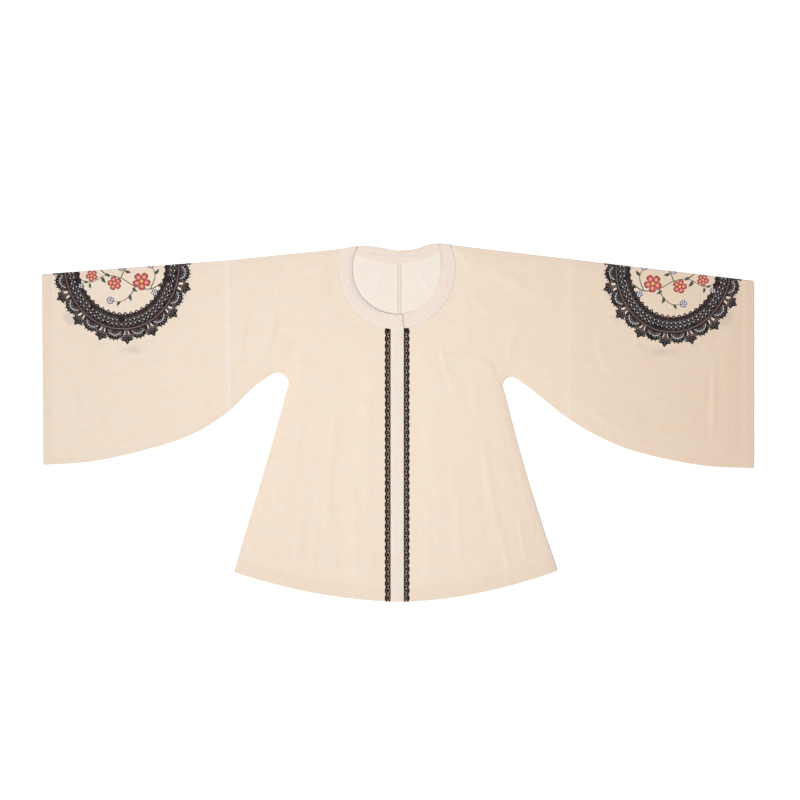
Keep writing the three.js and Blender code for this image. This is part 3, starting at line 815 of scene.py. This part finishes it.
collar = {
    "thickness": 1.0,
    "frontFace": 3.3,
    "raised": 1.7,            # the upper end lies on the lower one
    "backFace": 0.62,
    "lowest": 0.06,
    "crown": 0.4,
    "fall": {"Right": 0.9, "Left": 0.4},    # how far its free edge sinks towards the back
    "overlap": 0.9,           # covers its seam with the panel
    "underEnd": 12.5,
    "frontSteps": 110,
    "foldSteps": 8,
    "backSteps": 56,
    "acrossSteps": 24,
    "foldOut": 0.6,
    "rollDepth": 0.5,         # the line along which the back of the band rolls over
    "rollWidth": 0.045,
    # stretches of its length, in sections from the front end
    "fallStarts": (14, 34),
    "fallEnds": (96, 110),
    "foldShadeStarts": {"Right": (92, 106), "Left": (80, 92)},
    "foldShadeEnds": (116, 124),
    # where it runs between seam (0) and free edge (1), evenly spaced from centre back to shoulder
    "roll": {"Right": (0.67, 0.6, 0.55, 0.68, 0.86), "Left": (0.67, 0.55, 0.42, 0.36, 0.33)},
}


def collarSection(halfName, index):
    half = halves[halfName]
    seamTop = roundNeck(half, half["seamRadius"], neckTurn(half, 1))
    freeTop = half["freeTop"]
    if index <= collar["frontSteps"]:
        t = index / collar["frontSteps"]
        endOut = cut["halfPlacket"] if half["upper"] else collar["underEnd"]
        endTurn = -math.asin(endOut / half["seamRadius"])
        freeTurn = math.atan2(freeTop[0] / half["squeeze"], cut["neckCentreUp"] - freeTop[1])
        turn = lerp(endTurn, neckTurn(half, 1), t)
        radius = alongTable(half["freeRadii"], t, 20)
        raised = 1 - smooth(turn, cloth["liftFrom"], cloth["liftTo"]) if half["upper"] else 0
        free = roundNeck(half, radius, lerp(endTurn, freeTurn, t))
        face = collar["frontFace"] + collar["raised"] * raised
        return roundNeck(half, half["seamRadius"], turn), free, face, 0
    if index <= collar["frontSteps"] + collar["foldSteps"]:
        tau = (index - collar["frontSteps"]) / collar["foldSteps"]
        middle = (collar["frontFace"] + collar["backFace"]) / 2
        face = middle + (collar["frontFace"] - middle) * math.cos(math.pi * tau)
        return seamTop, freeTop, face, collar["foldOut"] * math.sin(math.pi * tau)
    t = 1 - (index - collar["frontSteps"] - collar["foldSteps"]) / collar["backSteps"]
    backEdge = [(0, cut["backCollarUp"]), *half["backFree"], freeTop]
    free = smoothCurve(backEdge, t * (len(backEdge) - 1))
    return backNeckPoint(half, t), free, collar["backFace"], 0


# how deep into the roll line a point of the back of the band lies, 0 to 1
def rollDepth(halfName, index, w):
    t = 1 - (index - collar["frontSteps"] - collar["foldSteps"]) / collar["backSteps"]
    if t > 1:
        return 0
    return bell(w - alongTable(collar["roll"][halfName], t, 10, 10), collar["rollWidth"])


def makeCollar():
    bm = bmesh.new()
    layers = bm.verts.layers.float.new("layers")
    showThroughAndShade = bm.verts.layers.float.new("showThroughAndShade")
    count = collar["frontSteps"] + collar["foldSteps"] + collar["backSteps"]
    for halfName, half in halves.items():
        sections = [collarSection(halfName, index) for index in range(count + 1)]
        first = len(bm.faces)
        for vert, index, across in newGrid(bm, count, collar["acrossSteps"]):
            w = across / collar["acrossSteps"]
            seam, free, face, foldOut = sections[index]
            stretch = collar["overlap"] / math.dist(seam, free)
            x, y = between(seam, free, lerp(-stretch, 1, w))
            onTop = smooth(face, collar["backFace"], collar["frontFace"])
            crown = collar["crown"] * (1 - abs(2 * w - 1) ** 3) * lerp(0.4, 1, onTop)
            pucker = 0.4 * ripple(x, y, 6.5, 41) * bell(w, 0.35) + 0.28 * ripple(x, y, 9, 42)
            rolled = rollDepth(halfName, index, w)
            height = face + crown + pucker * lerp(0.5, 1, onTop) - collar["rollDepth"] * rolled
            beside = smooth(index, *collar["fallStarts"]) * (1 - smooth(index, *collar["fallEnds"]))
            height -= collar["fall"][halfName] * beside * smooth(w, 0.65, 1)
            vert.co = (half["side"] * x, y + foldOut, max(height, collar["lowest"]))
            # deeper where it is doubled and in blotches; painted shade along the roll line, over the folds
            # near the shoulders and near the free edge
            nearEdge = smooth(w, 0.72, 0.96) * smooth(index, 40, 80)
            centreBack = 0.4 * bell(x, 0.9) * (index > collar["frontSteps"])
            # painted shade over the folds near the shoulders
            shoulder = smooth(index, *collar["foldShadeStarts"][halfName])
            shoulder *= 1 - smooth(index, *collar["foldShadeEnds"])
            folded = shoulder * (smooth(w, 0.84, 1) if half["upper"] else bell(w - 0.89, 0.11))
            mottled = 0.3 * max(0, ripple(x, y, 7, 43))
            vert[layers] = max(0.5 * rolled, centreBack, nearEdge * (0.15 if half["upper"] else 0.5),
                               folded, mottled)
            # the grey of the print seen through, used here as painted shade
            shade = 2.2 * folded if half["upper"] else max(0.45 * nearEdge, 1.4 * folded)
            vert[showThroughAndShade] = 0.16 * max(shade, 0.5 * rolled)
        if half["side"] < 0:
            bm.faces.ensure_lookup_table()
            bmesh.ops.reverse_faces(bm, faces=bm.faces[first:])
    bmesh.ops.remove_doubles(bm, verts=bm.verts, dist=mergeGap)
    faceUp(bm)
    piece = keepPiece("collarBand", bm, [bandCloth], ["collar_band"])
    thicken(piece, collar["thickness"], 0.22)
    return piece


collarBand = makeCollar()
print("collar sewn on")

# front plackets

placket = {
    "face": {"Right": 4.75, "Left": 3.0},
    "thickness": 0.9,
    "crown": 0.25,
    "rows": 300,
    "columns": 12,
}


def makePlacket(halfName):
    half = halves[halfName]
    edge = cut["halfPlacket"]

    def place(u, w):
        x = lerp(-edge, edge, u)
        top = neckSeamUp(half, x) + 0.4
        y = lerp(hemUp("Left", abs(x)), top, w)
        x += 0.28 * ripple(3 * u, y, 26, 51) + 0.12 * ripple(3 * u, y, 8, 52)
        rim = abs(2 * u - 1)
        z = placket["face"][halfName] + placket["crown"] * (1 - rim ** 4)
        z += 0.16 * ripple(x, y, 7, 53) * rim ** 2 + 0.16 * ripple(x, y, 34, 54)
        z -= 0.22 * bell(rim - 0.84, 0.06)
        return (x, y, z)

    bm = bmesh.new()
    gridSheet(bm, placket["columns"], placket["rows"], place)
    faceUp(bm)
    piece = keepPiece("placket" + halfName, bm, [bandCloth], ["placket_" + halfName.lower()])
    thicken(piece, placket["thickness"], 0.2)
    return piece


plackets = {halfName: makePlacket(halfName) for halfName in halves}

# black lace tapes beside the plackets

lace = {
    "inset": {"Right": 1.7, "Left": 0.1},
    "pitch": 15.45,
    "repeats": 38,
    "depth": 9.7,
    "scallop": 2.4,
    "yarn": 0.55,
    "header": 2.1,            # solid edge beside the placket
    "petalAcross": 8.0,
    "petalRadii": (3.1, 4.3),
    "petalWidth": 1.9,
    "heart": 1.4,
    "heartWidth": 1.7,
    "foldedEnd": 7.5,
    "lift": 0.08,             # gap between the tape and the cloth
}


# a flat strip along a path; path and width take t, 0 to 1
def stroke(bm, path, width, steps, index=0, raised=0):
    before = len(bm.faces)
    centre = [Vector(path(k / steps)) for k in range(steps + 1)]

    def place(u, w):
        k = round(u * steps)
        tangent = centre[min(k + 1, steps)] - centre[max(k - 1, 0)]
        tangent.normalize()
        reach = (w - 0.5) * (width(k / steps) if callable(width) else width)
        return (centre[k].x - tangent.y * reach, centre[k].y + tangent.x * reach, raised)

    gridSheet(bm, steps, 2, place)
    bm.faces.ensure_lookup_table()
    for k in range(before, len(bm.faces)):
        bm.faces[k].material_index = index


# a flat filled shape; radius takes the turn round its middle
def blot(bm, centre, radius, sides, index=0, raised=0):
    before = len(bm.faces)
    rim = bmesh.ops.create_circle(bm, cap_ends=True, cap_tris=True, segments=sides, radius=1)["verts"]
    for vert in rim:
        turn = math.atan2(vert.co.y, vert.co.x)
        reach = (radius(turn) if callable(radius) else radius) * min(1, vert.co.length)
        vert.co = (centre[0] + reach * math.cos(turn), centre[1] + reach * math.sin(turn), raised)
    bm.faces.ensure_lookup_table()
    for k in range(before, len(bm.faces)):
        bm.faces[k].material_index = index


def ellipsePath(centre, radii, start=0, end=1):
    def path(t):
        turn = 2 * math.pi * lerp(start, end, t)
        return (centre[0] + radii[0] * math.cos(turn), centre[1] + radii[1] * math.sin(turn), 0)
    return path


def line(a, b):
    return lambda t: (lerp(a[0], b[0], t), lerp(a[1], b[1], t), 0)


# one repeat, x across the tape from its inner edge, y along it: a close round petal under a
# scallop, with an open crescent between it and the straight edge
def laceRepeat(bm):
    pitch, middle, header = lace["pitch"], lace["pitch"] / 2, lace["header"]
    petal = (lace["petalAcross"], middle)
    radii = lace["petalRadii"]

    def edge(t):
        return (lace["depth"] - 1.2 + lace["scallop"] * math.sin(math.pi * t), pitch * t, 0)

    stroke(bm, line((header / 2, 0), (header / 2, pitch)), header, 4)
    stroke(bm, edge, 2.5, 14)
    stroke(bm, ellipsePath(petal, (lace["heart"], lace["heart"] * 1.15)), lace["heartWidth"], 14,
           raised=0.1)
    stroke(bm, ellipsePath(petal, radii), lace["petalWidth"], 22, raised=0.05)
    for k in range(8):
        turn = 2 * math.pi * (k + 0.5) / 8
        near, far = ((petal[0] + reach * math.cos(turn), petal[1] + 1.25 * reach * math.sin(turn))
                     for reach in (1.9, 2.9))
        stroke(bm, line(near, far), 0.8, 1)
    for sign in (-1, 1):
        y = middle + sign * (middle - 1.1)
        stroke(bm, line((header - 0.4, y), (lace["depth"] - 1, y)),
               lambda t: 1.9 + 0.5 * math.sin(9 * t), 6)
        y = middle + sign * (middle - 2.9)
        stroke(bm, line((petal[0] - 0.6, y), (lace["depth"] + 0.4, y - sign * 0.5)), 1.6, 3)
    # thin bars across the open crescent
    for reach in (-3.6, -1.9, -0.2, 1.5, 3.2):
        inner = petal[0] - radii[0] * math.sqrt(1 - (reach / radii[1]) ** 2)
        stroke(bm, line((header - 0.2, middle + 1.25 * reach), (inner, middle + reach)), 0.9, 2,
               raised=-0.05)
    stroke(bm, line((header + 1.4, 2), (header + 1.4, pitch - 2)), 0.7, 4, raised=-0.1)
    # picots
    for k in range(5):
        t = (k + 0.5) / 5
        blot(bm, (edge(t)[0] + 1.15, edge(t)[1]), 0.7, 7, raised=0.03)


def makeLace(halfName):
    half = halves[halfName]
    inner = cut["halfPlacket"] + lace["inset"][halfName]
    bottom = hemUp("Left", inner + lace["depth"]) + 0.3
    bm = bmesh.new()
    laceRepeat(bm)
    unit = list(bm.verts) + list(bm.edges) + list(bm.faces)
    for k in range(1, lace["repeats"]):
        copied = bmesh.ops.duplicate(bm, geom=unit)["geom"]
        moved = [item for item in copied if isinstance(item, bmesh.types.BMVert)]
        bmesh.ops.translate(bm, vec=Vector((0, lace["pitch"] * k, 0)), verts=moved)
    # the top end is folded under
    end, across = lace["pitch"] * lace["repeats"], lace["depth"] + 1.3
    stroke(bm, line((across / 2, end - lace["foldedEnd"]), (across / 2, end)), across, 8, raised=0.12)
    for vert in bm.verts:
        out = inner + vert.co.x + 0.25 * ripple(1, vert.co.y, 40, 61)
        up = bottom + vert.co.y
        # its ends and inner edge reach just past the cloth below
        low, high = hemUp(halfName, out) + 0.8, cut["neckCentreUp"] - half["seamRadius"]
        face = onPanel("body", halfName, max(out, cut["halfPlacket"] + 0.5),
                       min(max(up, low), high), lace["lift"])
        wave = 0.12 * ripple(out, vert.co.y, 6, 62)
        vert.co = (half["side"] * out, up, face.z + lace["yarn"] + vert.co.z + wave)
    bm.normal_update()
    bmesh.ops.reverse_faces(bm, faces=[face for face in bm.faces if face.normal.z < 0])
    piece = keepPiece("laceTrim" + halfName, bm, [blackLace], ["lace_trim_" + halfName.lower()])
    thicken(piece, lace["yarn"])
    return piece


laces = {halfName: makeLace(halfName) for halfName in halves}
print("plackets and lace laid")

# stitch lines

stitch = {
    "length": 2.8,
    "width": 0.75,
    "rise": 0.3,
    "sunk": 0.12,
    "stepsEach": 4,
    "underBelow": 0.8,        # lower down they are those of the underside
}


# stitches follow a route of surface points; between them the thread dips into the cloth
def stitchLine(bm, route):
    total = sum((b - a).length for a, b in zip(route, route[1:]))
    count = max(2, int(total / stitch["length"]))
    steps = count * stitch["stepsEach"]
    marks, travelled, index = [], 0, 0
    for k in range(steps + 1):
        goal = total * k / steps
        while index < len(route) - 2 and travelled + (route[index + 1] - route[index]).length < goal:
            travelled += (route[index + 1] - route[index]).length
            index += 1
        span = (route[index + 1] - route[index]).length
        marks.append(route[index].lerp(route[index + 1], min(1, (goal - travelled) / span)))

    def place(u, w):
        k = round(u * steps)
        tangent = marks[min(k + 1, steps)] - marks[max(k - 1, 0)]
        tangent.normalize()
        pulse = abs(math.sin(math.pi * k / stitch["stepsEach"]))
        reach = (2 * w - 1) * stitch["width"] / 2 * (0.3 + 0.7 * pulse)
        rise = stitch["rise"] * pulse * (1 - (2 * w - 1) ** 2) - stitch["sunk"]
        mark = marks[k]
        sign = -1 if mark.z < stitch["underBelow"] else 1
        return (mark.x - tangent.y * reach, mark.y + tangent.x * reach, max(0.04, mark.z + sign * rise))

    gridSheet(bm, steps, 2, place)


# place turns t, 0 to 1, into (out, up) on a panel
def stitchedAlong(bm, kind, halfName, place, count, under):
    stitchLine(bm, [onPanel(kind, halfName, *place(k / (count - 1)), 0.02, under) for k in range(count)])


def stitchedEdges(bm, halfName, under):
    half, curve = halves[halfName], underarm[halfName]
    inward = cut["cuffDepth"] / cut["sleeveRun"]
    cuffTop = between(half["foldCuff"], half["foldSeam"], inward)
    cuffFoot = smoothCurve(curve, seamRow * inward)
    first = 0.5 if under else cut["halfPlacket"] + 0.5
    last = curve[hemRow - 1][0] - 2

    def hemPlace(t):
        out = lerp(first, last, t)
        return out, hemUp(halfName, out) + cut["hemDepth"]

    def cuffPlace(t):
        return between(cuffTop, cuffFoot, lerp(0.006, 0.994, t))

    stitchedAlong(bm, "sleeve", halfName, cuffPlace, 90, under)
    stitchedAlong(bm, "body", halfName, hemPlace, 120, under)


def makeStitches():
    bm = bmesh.new()
    for halfName in halves:
        for under in (False, True):
            stitchedEdges(bm, halfName, under)
    for face in bm.faces:
        if (face.normal.z < 0) != (face.calc_center_median().z < stitch["underBelow"]):
            face.normal_flip()
    return keepPiece("hemStitches", bm, [sewingThread])


stitches = makeStitches()


# top stitching of the bands, laid on their own faces
def bandStitches():
    bm = bmesh.new()
    edge = cut["halfPlacket"] * 0.84
    for x in (-edge, edge):
        top = neckSeamUp(halves["Right"], x) - 3
        route = [Vector((x + 0.28 * ripple(0, y, 26, 51), y, placket["face"]["Right"] + 0.04))
                 for y in [lerp(hemUp("Right", abs(x)) + 1, top, k / 200) for k in range(201)]]
        stitchLine(bm, route)
    bmesh.ops.recalc_face_normals(bm, faces=bm.faces)
    faceUp(bm)
    return keepPiece("bandStitches", bm, [sewingThread])


topStitches = bandStitches()
print("stitches sewn")

# printed medallion on each sleeve, centred on the fold: scalloped fans round a flower spray

inkIndex = {name: index for index, name in enumerate(inkShades)}


def inked(bm, path, width, steps, name, level):
    stroke(bm, path, width, steps, inkIndex[name], level * medallion["layerStep"])


def dotted(bm, centre, radius, sides, name, level):
    blot(bm, centre, radius, sides, inkIndex[name], level * medallion["layerStep"])


def ovalPoint(turn, radius, slide=0):
    a = medallion["alongRadius"] * radius * math.cos(turn)
    d = medallion["downRadius"] * radius * math.sin(turn)
    return (a - slide * math.sin(turn), d + slide * math.cos(turn), 0)


def ovalStroke(bm, radius, width, name, level, wave=0, waves=0):
    def path(t):
        turn = 2 * math.pi * t
        return ovalPoint(turn, radius + wave * abs(math.sin(waves * turn / 2)))
    inked(bm, path, width, 320, name, level)


# a point given from an anchor by its distance outwards and sideways
def fromAnchor(turn, radius, outward, sideways):
    a, d, _ = ovalPoint(turn, radius)
    nA, nD = math.cos(turn), math.sin(turn)
    return (a + nA * outward - nD * sideways, d + nD * outward + nA * sideways, 0)


def printFan(bm, turn, size):
    ribs, base = 7, 0.865

    def rim(t):
        angle = lerp(-1.35, 1.35, t)
        reach = size * (0.86 + 0.14 * abs(math.sin(ribs * math.pi * t)))
        return fromAnchor(turn, base, reach * math.cos(angle), 0.92 * reach * math.sin(angle))

    inked(bm, lambda t: tuple((p + q) / 2 for p, q in zip(rim(t), fromAnchor(turn, base, 0, 0))),
          lambda t: math.dist(rim(t), fromAnchor(turn, base, 0, 0)), 42, "black", 2)
    for k in range(ribs):
        angle = lerp(-1.2, 1.2, (k + 0.5) / ribs)
        near = fromAnchor(turn, base, size * 0.34 * math.cos(angle), size * 0.32 * math.sin(angle))
        far = fromAnchor(turn, base, size * 0.86 * math.cos(angle), size * 0.8 * math.sin(angle))
        inked(bm, line(near, far), lambda t: 0.5 + 1.5 * math.sin(math.pi * t) ** 0.7, 6, "grey", 3)
        tip = fromAnchor(turn, base, size * 1.04 * math.cos(angle), size * 0.96 * math.sin(angle))
        dotted(bm, tip, 1.35, 9, "black", 2)
    arc = lambda reach: (lambda t: fromAnchor(turn, base, size * reach * math.cos(lerp(-1.3, 1.3, t)),
                                              size * reach * math.sin(lerp(-1.3, 1.3, t))))
    inked(bm, arc(0.27), 3.2, 14, "plum", 4)
    inked(bm, arc(0.58), 0.8, 20, "white", 4)


def printTrefoil(bm, turn, size):
    base = 0.87
    tip = fromAnchor(turn, base, size * 1.1, 0)
    inked(bm, line(fromAnchor(turn, base, 0, 0), tip), 1.8, 4, "black", 2)
    for angle in (-1.25, 0, 1.25):
        def petal(t, angle=angle):
            return fromAnchor(turn, base, size * (0.95 + 0.75 * t * math.cos(angle)),
                              size * 0.75 * t * math.sin(angle))
        inked(bm, petal, lambda t: 0.6 + size * 0.5 * math.sin(math.pi * min(1, t ** 0.8)), 8,
              "black", 2)
        inked(bm, petal, lambda t: 0.9 * math.sin(math.pi * t), 6, "grey", 3)


# a curling ribbon beside a fan
def printScroll(bm, turn, hand, size):
    def path(t):
        curl = 1.75 * math.pi * t
        reach = size * (1 - 0.62 * t)
        outward = size * 0.95 + reach * math.sin(curl - 1.2)
        return fromAnchor(turn, 0.86, outward, hand * (size * 0.85 - reach * math.cos(curl - 1.2)))
    body = lambda t: 4.6 * math.sin(math.pi * (0.12 + 0.8 * t)) ** 0.8
    inked(bm, path, lambda t: body(t) + 1.6, 34, "black", 3)
    inked(bm, path, body, 34, "plum", 4)
    inked(bm, path, lambda t: 0.25 * body(t), 34, "grey", 5)


def printNet(bm, inner, outer, count):
    for k in range(count):
        start = 2 * math.pi * k / count
        for hand in (-1, 1):
            def path(t, start=start, hand=hand):
                return ovalPoint(start + hand * t * 2.6 * math.pi / count * 2, lerp(inner, outer, t))
            inked(bm, path, 0.75, 8, "grey", 2)
        for share in (0.28, 0.5, 0.72):
            turn = start + (math.pi / count if share == 0.5 else 0)
            dotted(bm, ovalPoint(turn, lerp(inner, outer, share)), 1.1, 7, "white", 3)


def printBlossom(bm, centre, size, turn, dark, light, petals=5):
    for k in range(petals):
        angle = turn + 2 * math.pi * k / petals
        heading = (math.cos(angle), math.sin(angle))

        def petal(t):
            return (centre[0] + heading[0] * size * t, centre[1] + heading[1] * size * t, 0)
        full = lambda t: size * 0.95 * math.sin(math.pi * min(1, t * 0.93)) ** 0.55 * (0.35 + 0.65 * t)
        inked(bm, petal, lambda t: full(t) + 0.9, 12, "black" if dark == "blue" else "plum", 2)
        inked(bm, lambda t: petal(0.96 * t), full, 12, dark, 3)
        inked(bm, lambda t: petal(0.3 + 0.5 * t), lambda t: 0.42 * size * math.sin(math.pi * t), 8,
              light, 4)
    dotted(bm, centre, size * 0.2, 12, "gold", 5)
    for k in range(6):
        angle = turn + 2 * math.pi * (k + 0.5) / 6
        spot = (centre[0] + size * 0.32 * math.cos(angle), centre[1] + size * 0.32 * math.sin(angle))
        dotted(bm, spot, size * 0.055, 6, "plum", 5)


def printLeaf(bm, base, angle, length, width, name="leaf"):
    def path(t):
        lean = angle + 0.5 * t
        return (base[0] + length * t * math.cos(lean), base[1] + length * t * math.sin(lean), 0)
    inked(bm, path, lambda t: width * math.sin(math.pi * t ** 0.8), 10, name, 2)
    inked(bm, lambda t: path(0.1 + 0.75 * t), 0.7, 6, "grey", 3)


# branches of the spray as lists of (along, down) points
spray = {
    "stems": [
        [(-84, 46), (-58, 58), (-26, 50), (4, 30), (34, 22), (70, 34), (92, 26)],
        [(-26, 50), (-14, 68), (6, 80), (26, 78)],
        [(4, 30), (-6, 12), (-24, -4), (-40, -26)],
        [(34, 22), (50, 2), (52, -22), (68, -44)],
        [(-58, 58), (-70, 30), (-64, 8)],
        [(52, -22), (24, -48), (-8, -62), (-34, -86)],
        [(24, -48), (30, -76), (52, -96)],
    ],
    "coral": [(-40, 40, 19, 0.3), (18, 40, 15, 1.1), (66, 20, 12.5, 0.1), (-26, -30, 17, 0.8),
              (36, -66, 16, 0.2)],
    "blue": [(-66, 66, 7, 0.2), (30, 76, 8, 0.9), (90, 40, 6.5, 0.5), (-62, 6, 8, 0.4), (2, 8, 7, 0.1),
             (60, -8, 7.5, 0.8), (-10, -76, 8, 0.3), (66, -58, 7, 0.6)],
    "leaves": [(-14, 66, 1.2, 15), (8, 80, 0.4, 13), (44, 24, 1.6, 16), (84, 30, 2.4, 12),
               (-74, 52, 2.9, 14), (-68, 26, 3.4, 15), (-6, 14, 2.3, 14), (50, 0, -0.3, 15),
               (54, -30, 3.0, 13), (-20, 52, 1.9, 14), (28, 26, -1.2, 13), (10, -54, 2.2, 14),
               (32, -80, 1.1, 13), (-30, -84, 2.8, 14), (-42, -28, 3.6, 13), (70, 36, 1.1, 12)],
}


def medallionPrint(bm):
    ovalStroke(bm, 0.775, 34, "black", 1)
    printNet(bm, 0.71, 0.83, medallion["netMeshes"])
    rings = ((0.69, 2.4, "plum", 3), (0.86, 6.4, "plum", 3), (0.86, 1.2, "grey", 4), (0.77, 1.6, "plum", 4))
    for radius, width, name, level in rings:
        ovalStroke(bm, radius, width, name, level)
    ovalStroke(bm, 0.64, 2.6, "black", 3, wave=0.035, waves=48)
    for k in range(medallion["fans"]):
        turn = 2 * math.pi * (k + 0.5) / medallion["fans"]
        printFan(bm, turn, medallion["fanSize"])
        beside = turn + math.pi / medallion["fans"]
        printTrefoil(bm, beside, medallion["trefoilSize"])
        for hand in (1, -1):
            printScroll(bm, beside, hand, medallion["scrollSize"])
    for points in spray["stems"]:
        last = len(points) - 1
        inked(bm, lambda t: (*smoothCurve(points, t * last), 0), lambda t: 2.1 - 1.2 * t, 10 * last,
              "leaf", 1)
    for a, d, angle, length in spray["leaves"]:
        printLeaf(bm, (a, d), angle, length, length * 0.42)
    for a, d, size, turn in spray["blue"]:
        printBlossom(bm, (a, d), size, turn, "blue", "white")
    for a, d, size, turn in spray["coral"]:
        printBlossom(bm, (a, d), size, turn, "coral", "blush")


def makePrint(halfName):
    origin, along, down = foldFrame(halfName)
    bm = bmesh.new()
    medallionPrint(bm)
    bmesh.ops.translate(bm, vec=Vector((0, medallion["centreDown"], 0)), verts=bm.verts)
    # extra cuts near the fold, so the print goes round it
    for d in (-6, -2.6, -1.2, -0.5, 0, 0.5, 1.2, 2.6, 6):
        bmesh.ops.bisect_plane(bm, geom=list(bm.verts) + list(bm.edges) + list(bm.faces),
                               plane_co=(0, d, 0), plane_no=(0, 1, 0), dist=0.0001)
    for vert in bm.verts:
        a, d, raised = vert.co
        out = origin[0] + along[0] * a + down[0] * abs(d)
        up = origin[1] + along[1] * a + down[1] * abs(d)
        vert.co = onPanel("sleeve", halfName, out, up, medallion["lift"] + raised, d < 0)
    bm.normal_update()
    tree = surfaces["sleeve" + halfName]
    wrong = []
    for face in bm.faces:
        normal = tree.find_nearest(face.calc_center_median())[1]
        if normal and face.normal.dot(normal) < 0:
            wrong.append(face)
    bmesh.ops.reverse_faces(bm, faces=wrong)
    return keepPiece("sleevePrint" + halfName, bm, inks)


prints = {halfName: makePrint(halfName) for halfName in halves}
print("sleeves printed")

# floor and light

studio = {
    "floor": 3.0,             # metres
    "floorDrop": 0.0002,
    "floorGlow": 0.12,
    "sunStrength": 1.9,
    "sunFrom": (-1, -0.45, 0.95),
    "sunAngle": 13,
    "softboxPower": 13,
    "softboxPlace": (-0.15, 0.02, 1.6),
    "softboxSize": 1.2,
    "skyStrength": 0.37,
}


def makeFloor(setup):
    bm = bmesh.new()
    bmesh.ops.create_grid(bm, x_segments=2, y_segments=2, size=setup["floor"])
    bmesh.ops.translate(bm, vec=Vector((0, 0, -setup["floorDrop"])), verts=bm.verts)
    mesh = bpy.data.meshes.new("floor")
    bm.to_mesh(mesh)
    bm.free()
    # matt white background paper, faintly lit through so that it reads as pure white
    paper = shadedMaterial("whitePaperSweep", {
        "Roughness": 0.95, "Specular IOR Level": 0.1,
        "Emission Color": (1, 1, 1, 1), "Emission Strength": setup["floorGlow"],
    }, (4, 4, 2), ("#fbfbfb", "#fdfdfd"))
    mesh.materials.append(paper)
    floor = bpy.data.objects.new("floor", mesh)
    bpy.context.collection.objects.link(floor)


def addLight(name, kind, power, place, settings):
    data = bpy.data.lights.new(name, kind)
    data.energy = power
    for key, value in settings.items():
        setattr(data, key, value)
    light = bpy.data.objects.new(name, data)
    light.location = place
    light.rotation_euler = (-Vector(place)).to_track_quat("-Z", "Y").to_euler()
    bpy.context.collection.objects.link(light)


def makeLight(setup):
    addLight("windowLight", "SUN", setup["sunStrength"], setup["sunFrom"],
             {"angle": math.radians(setup["sunAngle"])})
    addLight("softbox", "AREA", setup["softboxPower"], setup["softboxPlace"],
             {"shape": "DISK", "size": setup["softboxSize"]})
    world = bpy.data.worlds.new("softRoom")
    world.use_nodes = True
    sky = world.node_tree.nodes["Background"].inputs
    sky["Strength"].default_value = setup["skyStrength"]
    sky["Color"].default_value = (1, 1, 1, 1)
    bpy.context.scene.world = world
    bpy.context.scene.view_settings.view_transform = "Standard"


makeFloor(studio)
makeLight(studio)
print("floor and light set")
